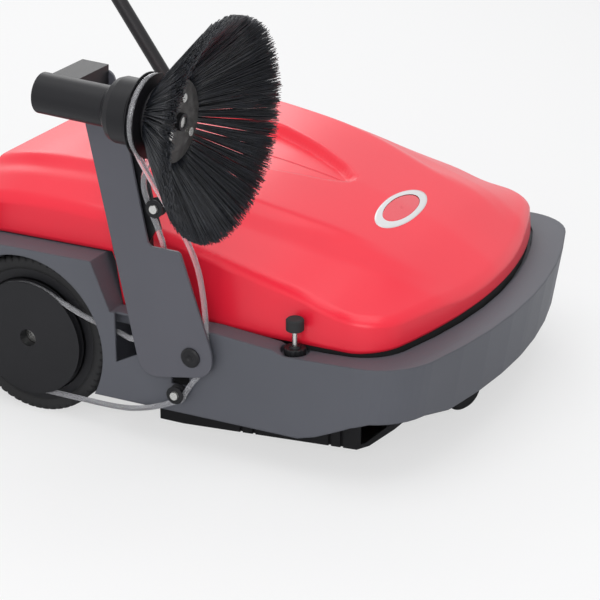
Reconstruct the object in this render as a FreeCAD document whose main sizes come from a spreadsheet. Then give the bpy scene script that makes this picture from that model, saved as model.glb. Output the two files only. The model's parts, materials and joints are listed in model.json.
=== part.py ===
import FreeCAD, Part
import math
import os
import re

import Sketcher
from FreeCAD import Placement, Rotation, Vector

# Walk-behind sweeper. X points forward, Y to the left, Z up, in millimetres.
# It is drawn with its centre plane at Y = 0 and the floor at Z = 0, and every
# sub-part is then placed so that the origin is the middle of its footprint.

doc = FreeCAD.newDocument("walk_behind_sweeper")
sheet = doc.addObject("Spreadsheet::Sheet", "Sizes")

sizes = {
    # chassis moulding
    "chassis_half": 345, "chassis_wall": 5, "nose_x": 445, "tail_x": -390,
    "skirt_z": 60, "skirt_rise": 42, "deck_z": 188, "deck_step": 6, "deck_high": 198,
    "fender_z": 272, "fender_x": -82, "fender_run": 30, "nose_run": 135,
    "nose_corner": 95, "nose_lean": 19, "tail_round": 30,
    "bay_wide": 83, "bay_wall_y": "chassis_half - bay_wide",
    "bay_wall": 4,
    "deck_thick": 8, "deck_ledge": 37, "opening_edge": 12, "opening_half": "hood_half - opening_edge",
    "opening_front": 366, "opening_rear": -38,
    # hood
    "hood_half": "chassis_half - deck_ledge", "hood_start": 281, "hood_corner": 70, "hood_rear": -370,
    "hood_wall": 4, "hood_low": 190.5, "hood_nose_low": 201, "hood_lean": 0.1,
    "hood_high": 400, "seal_wall": 3, "hinge_x": -380, "hinge_z": 284, "hinge_y": 180,
    "hinge_pin": 4,
    # hopper
    "tub_gap": 6, "tub_half": "opening_half - tub_gap", "tub_wall": 6, "tub_rear": -34,
    "tub_front": 352, "tub_low": 12,
    "tub_rise": 46, "groove_width": 4.5, "groove_deep": 3.5, "flange": 9, "flange_thick": 3,
    "lip_height": 34, "castor_bay": 84, "castor_bay_x": 268, "castor_bay_z": 112,
    # wheels and the drives they carry
    "wheel_x": -232, "wheel_rad": 125, "tyre_thick": 20, "wheel_wide": 22, "wheel_in": 43,
    "wheel_mid": "chassis_half - wheel_in",
    "axle_rad": 8, "run_gap": 0.06, "belt_wheel_rad": 85, "belt_in": 13.5,
    "belt_y": "chassis_half - belt_in", "belt_rad": 4.2,
    "gear_module": 2, "gear_teeth": 60, "pinion_teeth": 24, "gear_gap": 4, "gear_wide": 10,
    "gear_low": "bay_wall_y + gear_gap", "gear_high": "gear_low + gear_wide",
    "gear_drop": 13,
    # main broom
    "broom_gap": 10, "broom_half": "bay_wall_y - broom_gap",
    "broom_rad": 111.5, "core_rad": 40, "shaft_rad": 8, "broom_rows": 10,
    # side brush arm
    "pivot_x": 60, "pivot_z": 160, "plate_out": 15, "plate_y": "chassis_half + plate_out",
    "plate_thick": 4, "frame_out": 0.8, "frame_y": "chassis_half + frame_out",
    "frame_thick": 3.7, "pivot_rad": 8, "cap_rad": 15, "tab_low": 294, "tab_high": 320,
    "tab_x": -29.5, "tab_back": 33,
    "tab_in": "chassis_half - tab_back",
    # side brush
    "brush_x": 65, "brush_out": 102, "brush_y": "plate_y + brush_out", "brush_z": 552,
    "brush_pitch": 3, "tip_rad": 151,
    "hub_rad": 56, "disc_rad": 44, "hub_out": 41, "tip_out": 118, "tufts": 24,
    "spindle_rad": 8, "pulley_rad": 52,
    # guide rollers
    "roller_rad": 13.5, "groove_rad": 6.5, "roller_bolt": 4,
    "low_roller_x": 33, "low_roller_out": 10,
    "low_roller_y": "chassis_half + low_roller_out", "low_roller_z": 95,
    "top_roller_x": 9, "top_roller_out": 11.2,
    "top_roller_y": "frame_y + top_roller_out", "top_roller_z": 379,
    # bumper stop
    "bumper_x": 207, "bumper_in": 24, "bumper_y": "chassis_half - bumper_in",
    "bumper_top": 234, "bumper_rad": 13, "bumper_tall": 18,
    "stud_rad": 4, "nut_rad": 16, "nut_tall": 14, "pocket_rad": 21, "pocket_deep": 3,
    "insert_tall": 6,
    # castor
    "castor_x": 362, "castor_trail": 38, "castor_rad": 36, "castor_wide": 14,
    "castor_angle": 245, "castor_top": 94, "kingpin_rad": 8,
    # push handle
    "handle_in": 18, "handle_half": "chassis_half - handle_in", "handle_x": -345,
    "handle_z": 308, "handle_long": 850,
    "handle_angle": 125, "tube_rad": 12.5, "tube_wall": 1.8, "bend_rad": 95,
    "grip_rad": 17, "grip_low": 70, "grip_high": 205, "handle_bolt": 5, "knob_out": 37,
    # badge
    "badge_x": 236, "badge_y": 16, "badge_long": 82, "badge_wide": 25, "badge_thick": 1.5,
}

# Hood cross-sections from tail to nose: place, crown height, half width and depth of the
# hand recess, half width of the raised centre, drop beside it, crease, height of the rim.
hood_sections = [
    (-375, 352, 60, 0, 200, 10, 245, 312),
    (-330, 366, 70, 0, 204, 12, 246, 322),
    (-200, 376, 84, 0, 205, 12, 246, 330),
    (-110, 374, 98, 14, 202, 12, 243, 325),
    (-20, 365, 95, 16, 194, 12, 239, 311),
    (56, 353, 66, 15, 187, 12, 236, 295),
    (118, 338, 34, 12, 179, 10, 231, 281),
    (150, 329, 16, 0, 171, 8, 225, 274),
    (206, 312, 14, 0, 157, 6, 215, 262),
    (250, 297, 12, 0, 150, 2, 207, 248),
    (303, 276, 10, 0, 140, 0.5, 195, 240),
    (345, 252, 8, 0, 120, 0.4, 180, 231),
    (400, 219, 6, 0, 100, 0.3, 160, 214),
]

# Middle line of the drive belt between its pulleys and rollers: place along the machine,
# distance outside the chassis side, height.
belt_rise = [
    (61.6, 129, 481), (67, 82, 413.5), (74, 42, 352), (77, 17, 300), (78.5, 8, 258),
    (80.5, 5.8, 222), (81.5, 5.8, 180), (79, 5.8, 152), (69, 6, 131),
    (54, 9, 112),
]
belt_return = [(-6, 6.5, 64), (-38, 5, 54), (-64, -4, 45.5), (-98, -12, 39.5)]
belt_back = [
    (-134, -13, 176), (-86, -11.5, 165), (-71, -10, 163.5), (-43, 5.6, 165), (-24, 5.8, 169),
    (2, 5.8, 186),
    (15, 5.8, 228), (17.5, 5.8, 282), (16.5, 6, 318), (12, 10.8, 343),
]
belt_top = [(-12, 13.5, 412), (5, 22, 452), (44, 39, 498), (64.2, 56, 538)]

for row, (alias, size) in enumerate(sizes.items(), 1):
    sheet.set(f"A{row}", alias)
    sheet.set(f"B{row}", "0" if isinstance(size, str) else str(size))
    sheet.setAlias(f"B{row}", alias)
doc.recompute()
for alias, size in sizes.items():
    if isinstance(size, str):
        sheet.set(alias, f"={size}")
doc.recompute()

word = re.compile(r"[a-z][a-z_]*")
nodes = []


def formula(text):
    """Write a size formula in the sheet's own names."""
    return word.sub(lambda m: "Sizes." + m.group() if m.group() in sizes else m.group(), str(text))


def number(text):
    return float(sheet.evalExpression(formula(text)))


def bind(item, path, text):
    item.setExpression(path, formula(text))


# The footprint runs from the handle's crossbar to the side brush, and to the left knob.
origin_x = "((nose_x + handle_x + handle_long * cos(handle_angle) - grip_rad) / 2)"
origin_y = "((handle_half + knob_out - brush_y - tip_rad) / 2)"


def seat(item, x="0", y="0", z="0", turn=Rotation()):
    """Place a finished sub-part; x, y and z are formulas in the drawing frame."""
    item.Placement = Placement(Vector(number(x), number(y), number(z)), turn)
    bind(item, ".Placement.Base.x", f"{x} - {origin_x}")
    bind(item, ".Placement.Base.y", f"{y} - {origin_y}")
    bind(item, ".Placement.Base.z", z)
    nodes.append(item)


def pair(label, item):
    """Export a seated right-hand sub-part and its left-hand twin as one group."""
    nodes.remove(item)
    twin = doc.addObject("Part::Mirroring", label + "_twin")
    twin.Source = item
    twin.Normal = Vector(0, 1, 0)
    bind(twin, ".Base.y", f"-{origin_y}")
    group = doc.addObject("Part::Compound", label)
    group.Label = label
    group.Links = [item, twin]
    nodes.append(group)


def new_body(label):
    body = doc.addObject("PartDesign::Body", label)
    body.Label = label
    return body


def origin_item(body, role):
    return [item for item in body.Origin.OriginFeatures if item.Role == role][0]


def sketch_on(body, role, height="0"):
    sketch = body.newObject("Sketcher::SketchObject", "Sketch")
    sketch.AttachmentSupport = [(origin_item(body, role), "")]
    sketch.MapMode = "FlatFace"
    bind(sketch, ".AttachmentOffset.Base.z", height)
    return sketch


def pin_point(sketch, geometry, point, x, y):
    for kind, text in (("DistanceX", x), ("DistanceY", y)):
        rule = Sketcher.Constraint(kind, -1, 1, geometry, point, number(text))
        bind(sketch, f"Constraints[{sketch.addConstraint(rule)}]", text)


def outline(sketch, corners):
    """Draw a closed outline through corners, each given by two formulas."""
    spots = [Vector(number(x), number(y), 0) for x, y in corners]
    first = sketch.GeometryCount
    for spot, following in zip(spots, spots[1:] + spots[:1]):
        sketch.addGeometry(Part.LineSegment(spot, following), False)
    for index in range(len(corners)):
        following = (index + 1) % len(corners)
        sketch.addConstraint(
            Sketcher.Constraint("Coincident", first + index, 2, first + following, 1))
    for index, (x, y) in enumerate(corners):
        pin_point(sketch, first + index, 1, x, y)


def circle(sketch, x, y, radius):
    spot = Vector(number(x), number(y), 0)
    index = sketch.addGeometry(Part.Circle(spot, Vector(0, 0, 1), number(radius)), False)
    pin_point(sketch, index, 3, x, y)
    rule = Sketcher.Constraint("Radius", index, number(radius))
    bind(sketch, f"Constraints[{sketch.addConstraint(rule)}]", radius)


def box(low_x, low_y, high_x, high_y):
    return [(low_x, low_y), (high_x, low_y), (high_x, high_y), (low_x, high_y)]


def stretch(body, kind, role, start, length, shapes):
    """Pad or pocket shapes: lists of corners, or triples (x, y, radius) for circles."""
    sketch = sketch_on(body, role, start)
    for shape in shapes:
        if isinstance(shape, tuple):
            circle(sketch, *shape)
        else:
            outline(sketch, shape)
    feature = body.newObject("PartDesign::" + kind, kind)
    feature.Profile = sketch
    bind(feature, "Length", length)
    return feature


def add(body, role, low, high, *shapes):
    """Pad shapes from low to high along the row axis that the plane faces."""
    start = f"-({high})" if role == "XZ_Plane" else low
    return stretch(body, "Pad", role, start, f"({high}) - ({low})", shapes)


def cut(body, role, low, high, *shapes):
    """Pocket shapes from low to high along the row axis that the plane faces."""
    start = f"-({low})" if role == "XZ_Plane" else high
    return stretch(body, "Pocket", role, start, f"({high}) - ({low})", shapes)


def turn_profile(body, corners, kind="Revolution"):
    """Turn a half profile of (radius, height) formulas about the body's Z axis."""
    sketch = sketch_on(body, "XZ_Plane")
    outline(sketch, corners)
    feature = body.newObject("PartDesign::" + kind, kind)
    feature.Profile = sketch
    feature.ReferenceAxis = (sketch, ["V_Axis"])
    feature.Angle = 360
    return feature


def turned(label, corners):
    body = new_body(label)
    turn_profile(body, corners)
    return body


def disc(inner, outer, low, high):
    """Half profile of a plain ring or disc."""
    return [(inner, low), (outer, low), (outer, high), (inner, high)]


def repeat(body, feature, count):
    """Repeat a feature evenly round the body's Z axis."""
    pattern = body.newObject("PartDesign::PolarPattern", "Pattern")
    pattern.Originals = [feature]
    pattern.Axis = (origin_item(body, "Z_Axis"), [""])
    pattern.Angle = 360
    bind(pattern, "Occurrences", count)
    body.Tip = pattern


def soften(body, radius, axis, spots, kind="Fillet"):
    """Round the straight edges along an axis that pass through the given spots."""
    doc.recompute()
    across = [i for i in range(3) if i != "xyz".index(axis)]
    goals = [[number(text) for text in spot] for spot in spots]
    found = []
    for index, edge in enumerate(body.Shape.Edges, 1):
        ends = [vertex.Point for vertex in edge.Vertexes]
        if len(ends) != 2:
            continue
        if any(all(abs(end[a] - goal[i]) < 0.02 for i, a in enumerate(across) for end in ends)
               for goal in goals):
            found.append(f"Edge{index}")
    base = body.Tip
    feature = body.newObject("PartDesign::" + kind, kind)
    feature.Base = (base, found)
    bind(feature, "Radius" if kind == "Fillet" else "Size", radius)


def both_sides(corners):
    """Mirror corners across the centre plane to close a plan outline."""
    return corners + [(x, f"-({y})") for x, y in reversed(corners)]


def bow(rear, start, half, corner, steepness, inset="0", lean="0"):
    """Right half of a plan: straight side, tight corner arc, then a long nose arc."""
    side = f"({half} - {inset})"
    tight = f"({corner} - {inset})"
    wide = f"(({side} - {tight} * (1 - cos({steepness}))) / cos({steepness}))"
    corners = [(f"{rear} + {inset}", f"-{side}")]
    for part in range(9):
        angle = f"({steepness} * {part / 8})"
        corners.append((f"{start} - {lean} + {tight} * sin({angle})",
                        f"-{side} + {tight} * (1 - cos({angle}))"))
    for part in (0.25, 0.5, 0.75, 0.97):
        angle = f"({steepness} + (90 - {steepness}) * {part})"
        corners.append((f"{start} - {lean} + {tight} * sin({steepness})"
                        f" + {wide} * (sin({angle}) - sin({steepness}))",
                        f"-{wide} * cos({angle})"))
    return corners


def chassis_plan(inset="0", lean="0", rear="tail_x"):
    return bow(rear, "(nose_x - nose_run)", "chassis_half", "nose_corner", "72", inset, lean)


def hood_plan(inset="0", rear="hood_rear"):
    return bow(rear, "hood_start", "hood_half", "hood_corner", "70", inset)


# ---- shapes swept or worked out by Part's own functions --------------------------------

def free_shape(label, shape):
    """A sub-part whose shape is computed in the drawing frame."""
    feature = doc.addObject("Part::Feature", label)
    feature.Label = label
    feature.Shape = shape
    feature.Placement = Placement(Vector(-number(origin_x), -number(origin_y), 0), Rotation())
    nodes.append(feature)


def rounded_path(points, radius):
    """Straight runs joined by tangent arcs of one radius."""
    spots = [Vector(*point) for point in points]
    edges, start = [], spots[0]
    for before, corner, after in zip(spots, spots[1:], spots[2:]):
        back = (before - corner).normalize()
        ahead = (after - corner).normalize()
        half_turn = (math.pi - back.getAngle(ahead)) / 2
        reach = radius * math.tan(half_turn)
        leave, arrive = corner + back * reach, corner + ahead * reach
        middle = corner + (back + ahead).normalize() * (radius / math.cos(half_turn) - radius)
        edges.append(Part.LineSegment(start, leave).toShape())
        edges.append(Part.Arc(leave, middle, arrive).toShape())
        start = arrive
    edges.append(Part.LineSegment(start, spots[-1]).toShape())
    return Part.Wire(edges)


def sweep(path, radius):
    first = path.OrderedEdges[0]
    start = first.valueAt(first.FirstParameter)
    heading = first.tangentAt(first.FirstParameter)
    ring = Part.Wire([Part.Circle(start, heading, radius).toShape()])
    return path.makePipeShell([ring], True, False)


def polygon(points):
    spots = [Vector(*point) for point in points]
    return Part.makePolygon(spots + spots[:1])


def prism_along_y(corners, low, high):
    """Solid between two Y values from corners in the X-Z plane."""
    face = Part.Face(polygon([(x, low, z) for x, z in corners]))
    return face.extrude(Vector(0, high - low, 0))


# ---- chassis ---------------------------------------------------------------------------

fender_foot = "(fender_x - fender_run)"
deck_low = "(deck_z - deck_step)"
deck_under = "(deck_z - deck_step - deck_thick)"
pocket_floor = "(deck_z - deck_step - pocket_deep)"
boss_low = "(deck_z - deck_step - pocket_deep - insert_tall)"
inner_half = "(chassis_half - chassis_wall)"
gear_span = "(gear_module * (gear_teeth + pinion_teeth) / 2)"
broom_x = f"(wheel_x + sqrt({gear_span} ^ 2 - gear_drop ^ 2))"
broom_z = "(wheel_rad - gear_drop)"


def chassis_frame():
    body = new_body("chassis_frame")
    loft = body.newObject("PartDesign::AdditiveLoft", "Shell")
    sections = []
    for height, lean in (("skirt_z", "nose_lean"), ("deck_z", "0"), ("fender_z", "0")):
        sketch = sketch_on(body, "XY_Plane", height)
        outline(sketch, both_sides(chassis_plan("0", lean)))
        sections.append(sketch)
    loft.Profile = sections[0]
    loft.Sections = sections[1:]
    loft.Ruled = True
    soften(body, "tail_round", "z", [("tail_x", "-chassis_half"), ("tail_x", "chassis_half")])
    # deck line: fender, high deck beside the arm, step down, front deck
    front_deck = [("86", "deck_high"), ("180", "deck_z + 2"), ("200", "deck_z - deck_step + 1"),
                  ("300", "deck_z - 1"), ("nose_x - 60", "deck_z + 1"),
                  ("nose_x + 20", "deck_z + 2"), ("nose_x + 20", "fender_z + 10")]
    side_deck = [(fender_foot, "fender_z + 10"), (fender_foot, "fender_z"),
                 ("fender_x", "deck_high")] + front_deck
    middle_deck = [("-62", "fender_z + 10"), ("-62", "fender_z"), ("-44", "deck_high + 14"),
                   ("opening_rear", "deck_high")] + front_deck
    cut(body, "XZ_Plane", "-chassis_half - 10", "-bay_wall_y", side_deck)
    cut(body, "XZ_Plane", "bay_wall_y", "chassis_half + 10", side_deck)
    cut(body, "XZ_Plane", "-bay_wall_y", "bay_wall_y", middle_deck)
    # the skirt rises to the front corners
    cut(body, "XZ_Plane", "-chassis_half - 10", "chassis_half + 10",
        [("210", "skirt_z - 10"), ("nose_x + 20", "skirt_z - 10"),
         ("nose_x + 20", "skirt_z + 0.7 * skirt_rise"), ("402", "skirt_z + 0.7 * skirt_rise"),
         ("388", "skirt_z + skirt_rise"), ("330", "skirt_z + skirt_rise"),
         ("304", "skirt_z + 0.8 * skirt_rise"), ("278", "skirt_z + 0.5 * skirt_rise"),
         ("250", "skirt_z + 0.2 * skirt_rise"), ("222", "skirt_z")])
    # lower level under the hood
    level = [("opening_rear", "-bay_wall_y"), ("fender_x", "-bay_wall_y")]
    cut(body, "XY_Plane", deck_low, "deck_high + 30",
        both_sides(level + hood_plan("-3", "fender_x + 3")))
    # space round the hopper, the two wheel bays and the broom chamber, all open below
    cut(body, "XY_Plane", "skirt_z - 1", deck_under,
        both_sides(chassis_plan("chassis_wall + 1", "nose_lean", "fender_x - 13")))
    bay = [("tail_x + chassis_wall", "skirt_z - 1"), ("tail_x + chassis_wall", "fender_z - 5"),
           ("fender_x - 37", "fender_z - 5"), ("fender_x - 12", "205"),
           ("fender_x - 12", "skirt_z - 1")]
    cut(body, "XZ_Plane", f"-{inner_half}", "-bay_wall_y", bay)
    cut(body, "XZ_Plane", "bay_wall_y", inner_half, bay)
    cut(body, "XZ_Plane", "-bay_wall_y + bay_wall", "bay_wall_y - bay_wall",
        [("tail_x + chassis_wall", "skirt_z - 1"), ("tail_x + chassis_wall", "fender_z - 5"),
         ("-69", "fender_z - 5"), ("-59", "deck_high + 14"), ("-46", deck_under),
         ("-46", "skirt_z - 1")])
    # opening that the hopper hangs in
    cut(body, "XY_Plane", f"{deck_under} - 1", "deck_high + 5",
        both_sides([("opening_rear", "-opening_half"), ("opening_front - 66", "-opening_half"),
                    ("opening_front - 30", "-opening_half + 54"),
                    ("opening_front", "-opening_half + 166")]))
    # wheel arches, belt window and slot, recess over the lower roller, bored seats
    cut(body, "XZ_Plane", "-chassis_half - 10", f"-{inner_half} + 1",
        ("wheel_x", "wheel_rad", "wheel_rad + 10"),
        [("-74", "120"), ("-74", "deck_high + 5"), ("-36", "deck_high + 5"), ("-36", "140")],
        box("low_roller_x - 14", "low_roller_z + 10", "low_roller_x + 16", "low_roller_z + 24"),
        ("pivot_x", "pivot_z", "pivot_rad + run_gap"),
        ("low_roller_x", "low_roller_z", "roller_bolt + run_gap"))
    cut(body, "XZ_Plane", f"{inner_half} - 1", "chassis_half + 10",
        ("wheel_x", "wheel_rad", "wheel_rad + 10"))
    for side in ("-", ""):
        low, high = sorted((f"{side}(bay_wall_y + 1)", f"{side}(bay_wall_y - bay_wall - 1)"),
                           key=number)
        cut(body, "XZ_Plane", low, high, ("wheel_x", "wheel_rad", "axle_rad"),
            (broom_x, broom_z, "shaft_rad + 5"))
    # channel that takes the belt back to the wheel
    cut(body, "XY_Plane", "155", "deck_high - 3.5",
        box("-100", f"-{inner_half}", "-41", "-(belt_y - 8.5)"))
    # pocket, boss and hole for the bumper stop
    add(body, "XY_Plane", boss_low, deck_under, ("bumper_x", "-bumper_y", "pocket_rad + 2"))
    cut(body, "XY_Plane", pocket_floor, "deck_high",
        ("bumper_x", "-bumper_y", "pocket_rad"))
    cut(body, "XY_Plane", f"{boss_low} - 1", "deck_high",
        ("bumper_x", "-bumper_y", "stud_rad + 3"))
    seat(body)


def hopper_tub():
    """Dust hopper that hangs by its flange in the deck opening."""
    body = new_body("hopper_tub")

    def plan(inset):
        return both_sides([(f"tub_rear + {inset}", f"-tub_half + {inset}"),
                           (f"tub_front - 62 - {inset}", f"-tub_half + {inset}"),
                           (f"tub_front - 26 - {inset}", f"-tub_half + 52 + {inset}"),
                           (f"tub_front - {inset}", f"-tub_half + 170 + {inset}")])

    def hollow(low, high, floor):
        cut(body, "XZ_Plane", low, high,
            [("tub_rear - 5", "tub_low + lip_height"), ("tub_rear + 6", "tub_low + lip_height"),
             ("tub_rear + 18", "tub_low + tub_wall + 3")] + floor +
            [("tub_front - 24", "deck_z + 20"), ("tub_rear - 5", "deck_z + 20")])

    add(body, "XY_Plane", "tub_low", deck_low, plan("0"))
    rim = "(tub_half + flange)"
    add(body, "XY_Plane", deck_low, f"{deck_low} + flange_thick",
        both_sides([("tub_rear", f"-{rim}"), ("tub_front - 60", f"-{rim}"),
                    ("tub_front - 20", f"-{rim} + 56"), ("tub_front + flange", f"-{rim} + 170")]))
    cut(body, "XZ_Plane", "-tub_half - 10", "tub_half + 10",
        [("tub_rear + 30", "tub_low - 5"), ("tub_front + 20", "tub_low - 5"),
         ("tub_front + 20", "tub_low + tub_rise + 30"), ("tub_front - 12", "tub_low + tub_rise"),
         ("tub_front - 50", "tub_low + 0.45 * tub_rise"), ("tub_rear + 40", "tub_low")])
    cut(body, "XY_Plane", "tub_low - 5", "castor_bay_z",
        box("castor_bay_x", "-castor_bay", "tub_front + 20", "castor_bay"))
    rising = [("tub_rear + 40", "tub_low + tub_wall"),
              ("tub_front - 54", "tub_low + 0.45 * tub_rise + tub_wall"),
              ("tub_front - 24", "tub_low + tub_rise + tub_wall")]
    raised = [("castor_bay_x - 8 - tub_wall", "tub_low + 0.4 * tub_rise + tub_wall"),
              ("castor_bay_x - tub_wall", "castor_bay_z + tub_wall"),
              ("tub_front - 24", "castor_bay_z + tub_wall")]
    hollow("-tub_half + tub_wall", "-castor_bay - tub_wall", rising)
    hollow("-castor_bay - tub_wall", "castor_bay + tub_wall", raised)
    hollow("castor_bay + tub_wall", "tub_half - tub_wall", rising)
    grooves = []
    for middle in (101, 122, 245, 264):
        for low, high in (("-tub_half - 1", "-tub_half + groove_deep"),
                          ("tub_half - groove_deep", "tub_half + 1")):
            grooves.append(box(str(middle), low, f"{middle} + groove_width", high))
    cut(body, "XY_Plane", "tub_low - 5", f"{deck_low} - 12", *grooves)
    seat(body)


def hopper_handle():
    """Bail that folds down inside the hopper, with an eye on the wall at each end."""
    half = number("tub_half - tub_wall") - 8
    low, middle = number(f"{deck_low} - 14"), number("tub_rear + 200")
    path = rounded_path([(middle, -half, low), (middle + 78, -half, low),
                         (middle + 78, half, low), (middle, half, low)], 24)
    eyes = [Part.makeCylinder(7, 6, Vector(middle, side * half - 3, low), Vector(0, 1, 0))
            for side in (-1, 1)]
    shape = sweep(path, 4).multiFuse(eyes)
    for side in (-1, 1):
        shape = shape.cut(Part.makeCylinder(3.06, 20, Vector(middle, side * half - 10, low),
                                            Vector(0, 1, 0)))
    free_shape("hopper_handle", shape.removeSplitter())


def hopper_pivots():
    pivot = turned("right_hopper_pivot",
                   [("0", "0"), ("9", "0"), ("9", "-2"), ("3", "-2"), ("3", "-13"), ("0", "-13")])
    seat(pivot, "tub_rear + 200", "-(tub_half - tub_wall)", f"{deck_low} - 14", to_right)
    pair("hopper_pivots", pivot)


def hood_seal():
    """Black strip that fills the gap under the hood's nose."""
    body = new_body("hood_seal")
    add(body, "XY_Plane", deck_low, "hood_nose_low - 1",
        both_sides(hood_plan("seal_wall", "200")))
    cut(body, "XY_Plane", f"{deck_low} - 5", "hood_nose_low + 10",
        both_sides([("150", "-opening_half - 5"), ("opening_front - 72", "-opening_half - 5"),
                    ("opening_front - 29", "-opening_half + 48"),
                    ("opening_front - 1", "-opening_half + 165")]))
    cut(body, "XZ_Plane", "-hood_half - 5", "hood_half + 5",
        [("195", "hood_low - 0.8"), ("290", "hood_low - 0.8"), ("410", "hood_nose_low - 0.8"),
         ("410", "hood_nose_low + 20"), ("195", "hood_nose_low + 20")])
    seat(body)


def rear_flap():
    flap = new_body("rear_dust_flap")
    add(flap, "YZ_Plane", "tail_x - 3", "tail_x",
        box("-(bay_wall_y + 38)", "12", "bay_wall_y + 38", "104"))
    seat(flap)
    strip = new_body("flap_strip")
    add(strip, "YZ_Plane", "tail_x - 5", "tail_x - 3",
        box("-(bay_wall_y + 38)", "86", "bay_wall_y + 38", "104"))
    seat(strip)


def axles():
    """Stub axles, their clips and the broom bearings. Z of the bodies points outwards."""
    reach = "(wheel_mid - bay_wall_y)"
    axle = turned("right_wheel_axle",
                  [("0", "-bay_wall"), ("axle_rad", "-bay_wall"), ("axle_rad", "0"), ("20", "0"),
                   ("20", "3"), ("axle_rad", "3"), ("axle_rad", f"{reach} + 20"),
                   ("0", f"{reach} + 20")])
    clip = turned("right_axle_clip", disc("axle_rad", "13", f"{reach} + 18.3", f"{reach} + 20"))
    bearing = turned("right_broom_bearing",
                     [("shaft_rad + run_gap", "-bay_wall"), ("shaft_rad + 5", "-bay_wall"),
                      ("shaft_rad + 5", "0"), ("19", "0"), ("19", "3"),
                      ("shaft_rad + run_gap", "3")])
    seat(axle, "wheel_x", "-bay_wall_y", "wheel_rad", to_right)
    seat(clip, "wheel_x", "-bay_wall_y", "wheel_rad", to_right)
    seat(bearing, broom_x, "-bay_wall_y", broom_z, to_right)
    pair("wheel_axles", axle)
    pair("axle_clips", clip)
    pair("broom_bearings", bearing)


def wheels():
    for side, turn, sign in (("right", to_right, "-"), ("left", to_left, "")):
        rim = turned(f"{side}_wheel_rim",
                     [("axle_rad + run_gap", "-26"), ("22", "-26"), ("22", "-4"), ("92", "-4"),
                      ("92", "-20"), ("wheel_rad - tyre_thick", "-20"),
                      ("wheel_rad - tyre_thick", "20"), ("92", "20"), ("92", "4"), ("22", "4"),
                      ("22", "18"), ("axle_rad + run_gap", "18")])
        openings = cut(rim, "XY_Plane", "-5", "5", ("57", "0", "17"))
        repeat(rim, openings, "6")
        seat(rim, "wheel_x", f"{sign}wheel_mid", "wheel_rad", turn)
        tyre = turned(f"{side}_tyre",
                      [("wheel_rad - tyre_thick", "-20"), ("wheel_rad - 7", "-wheel_wide"),
                       ("wheel_rad - 2", "-wheel_wide + 2.5"), ("wheel_rad", "-wheel_wide + 7"),
                       ("wheel_rad", "wheel_wide - 7"), ("wheel_rad - 2", "wheel_wide - 2.5"),
                       ("wheel_rad - 7", "wheel_wide"), ("wheel_rad - tyre_thick", "20")])
        seat(tyre, "wheel_x", f"{sign}wheel_mid", "wheel_rad", turn)
    pulley = turned("drive_pulley", groove_profile("belt_wheel_rad", "(belt_y - wheel_mid)", "13.5", "18"))
    seat(pulley, "wheel_x", "-wheel_mid", "wheel_rad", to_right)


def groove_profile(radius, middle, inner, low):
    """Half profile of a pulley whose groove holds the belt's middle line at a radius."""
    half = "(belt_rad + 0.8)"
    return [(inner, low), ("22", low), ("22", f"{middle} - {half} - 1.7"),
            (f"{radius} + 5", f"{middle} - {half} - 1.7"),
            (f"{radius} + 5", f"{middle} - {half} - 0.5"), (radius, f"{middle} - {half}"),
            (f"{radius} - 0.8 * {half}", f"{middle} - 0.7 * {half}"),
            (f"{radius} - {half}", middle),
            (f"{radius} - 0.8 * {half}", f"{middle} + 0.7 * {half}"),
            (radius, f"{middle} + {half}"), (f"{radius} + 5", f"{middle} + {half} + 0.5"),
            (f"{radius} + 5", f"{middle} + {half} + 1.7"), (inner, f"{middle} + {half} + 1.7")]


def gear_wire(teeth, turn_deg, centre):
    """Tooth outline in the X-Z plane: chords of the involute from root to tip."""
    module = number("gear_module")
    pitch = module * teeth / 2
    base = pitch * math.cos(math.radians(20))
    play = 0.28

    def half_angle(radius):
        slope = math.acos(min(1, base / radius))
        start = math.acos(base / pitch)
        gain = (math.tan(start) - start) - (math.tan(slope) - slope)
        return (math.pi * module / 2 - play) / (2 * pitch) + gain

    radii = [max(pitch - 1.25 * module, base + 0.01), pitch, pitch + 0.95 * module]
    spots = []
    for tooth in range(teeth):
        middle = math.radians(turn_deg) + 2 * math.pi * tooth / teeth
        root = pitch - 1.25 * module
        flank = [(root, -half_angle(radii[0]))]
        flank += [(radius, -half_angle(radius)) for radius in radii[1:]]
        flank += [(radius, -angle) for radius, angle in reversed(flank)]
        for radius, angle in flank:
            spots.append((centre[0] + radius * math.cos(middle + angle), 0,
                          centre[1] + radius * math.sin(middle + angle)))
    return spots


def gears():
    """Gear on the right wheel and the pinion it drives on the broom shaft."""
    wheel = (number("wheel_x"), number("wheel_rad"))
    broom = (number(broom_x), number(broom_z))
    aim = math.degrees(math.atan2(broom[1] - wheel[1], broom[0] - wheel[0]))
    low, high = number("gear_low"), number("gear_high")
    pinion = int(number("pinion_teeth"))
    for label, teeth, turn_deg, centre, bore in (
            ("wheel_gear", int(number("gear_teeth")), aim, wheel, number("axle_rad + run_gap")),
            ("broom_pinion", pinion, aim + 180 + 180 / pinion, broom, number("shaft_rad"))):
        spots = [(x, -high, z) for x, _, z in gear_wire(teeth, turn_deg, centre)]
        blank = Part.Face(polygon(spots)).extrude(Vector(0, high - low, 0))
        hole = Part.makeCylinder(bore, high, Vector(centre[0], -high - 5, centre[1]),
                                 Vector(0, 1, 0))
        free_shape(label, blank.cut(hole))


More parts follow.
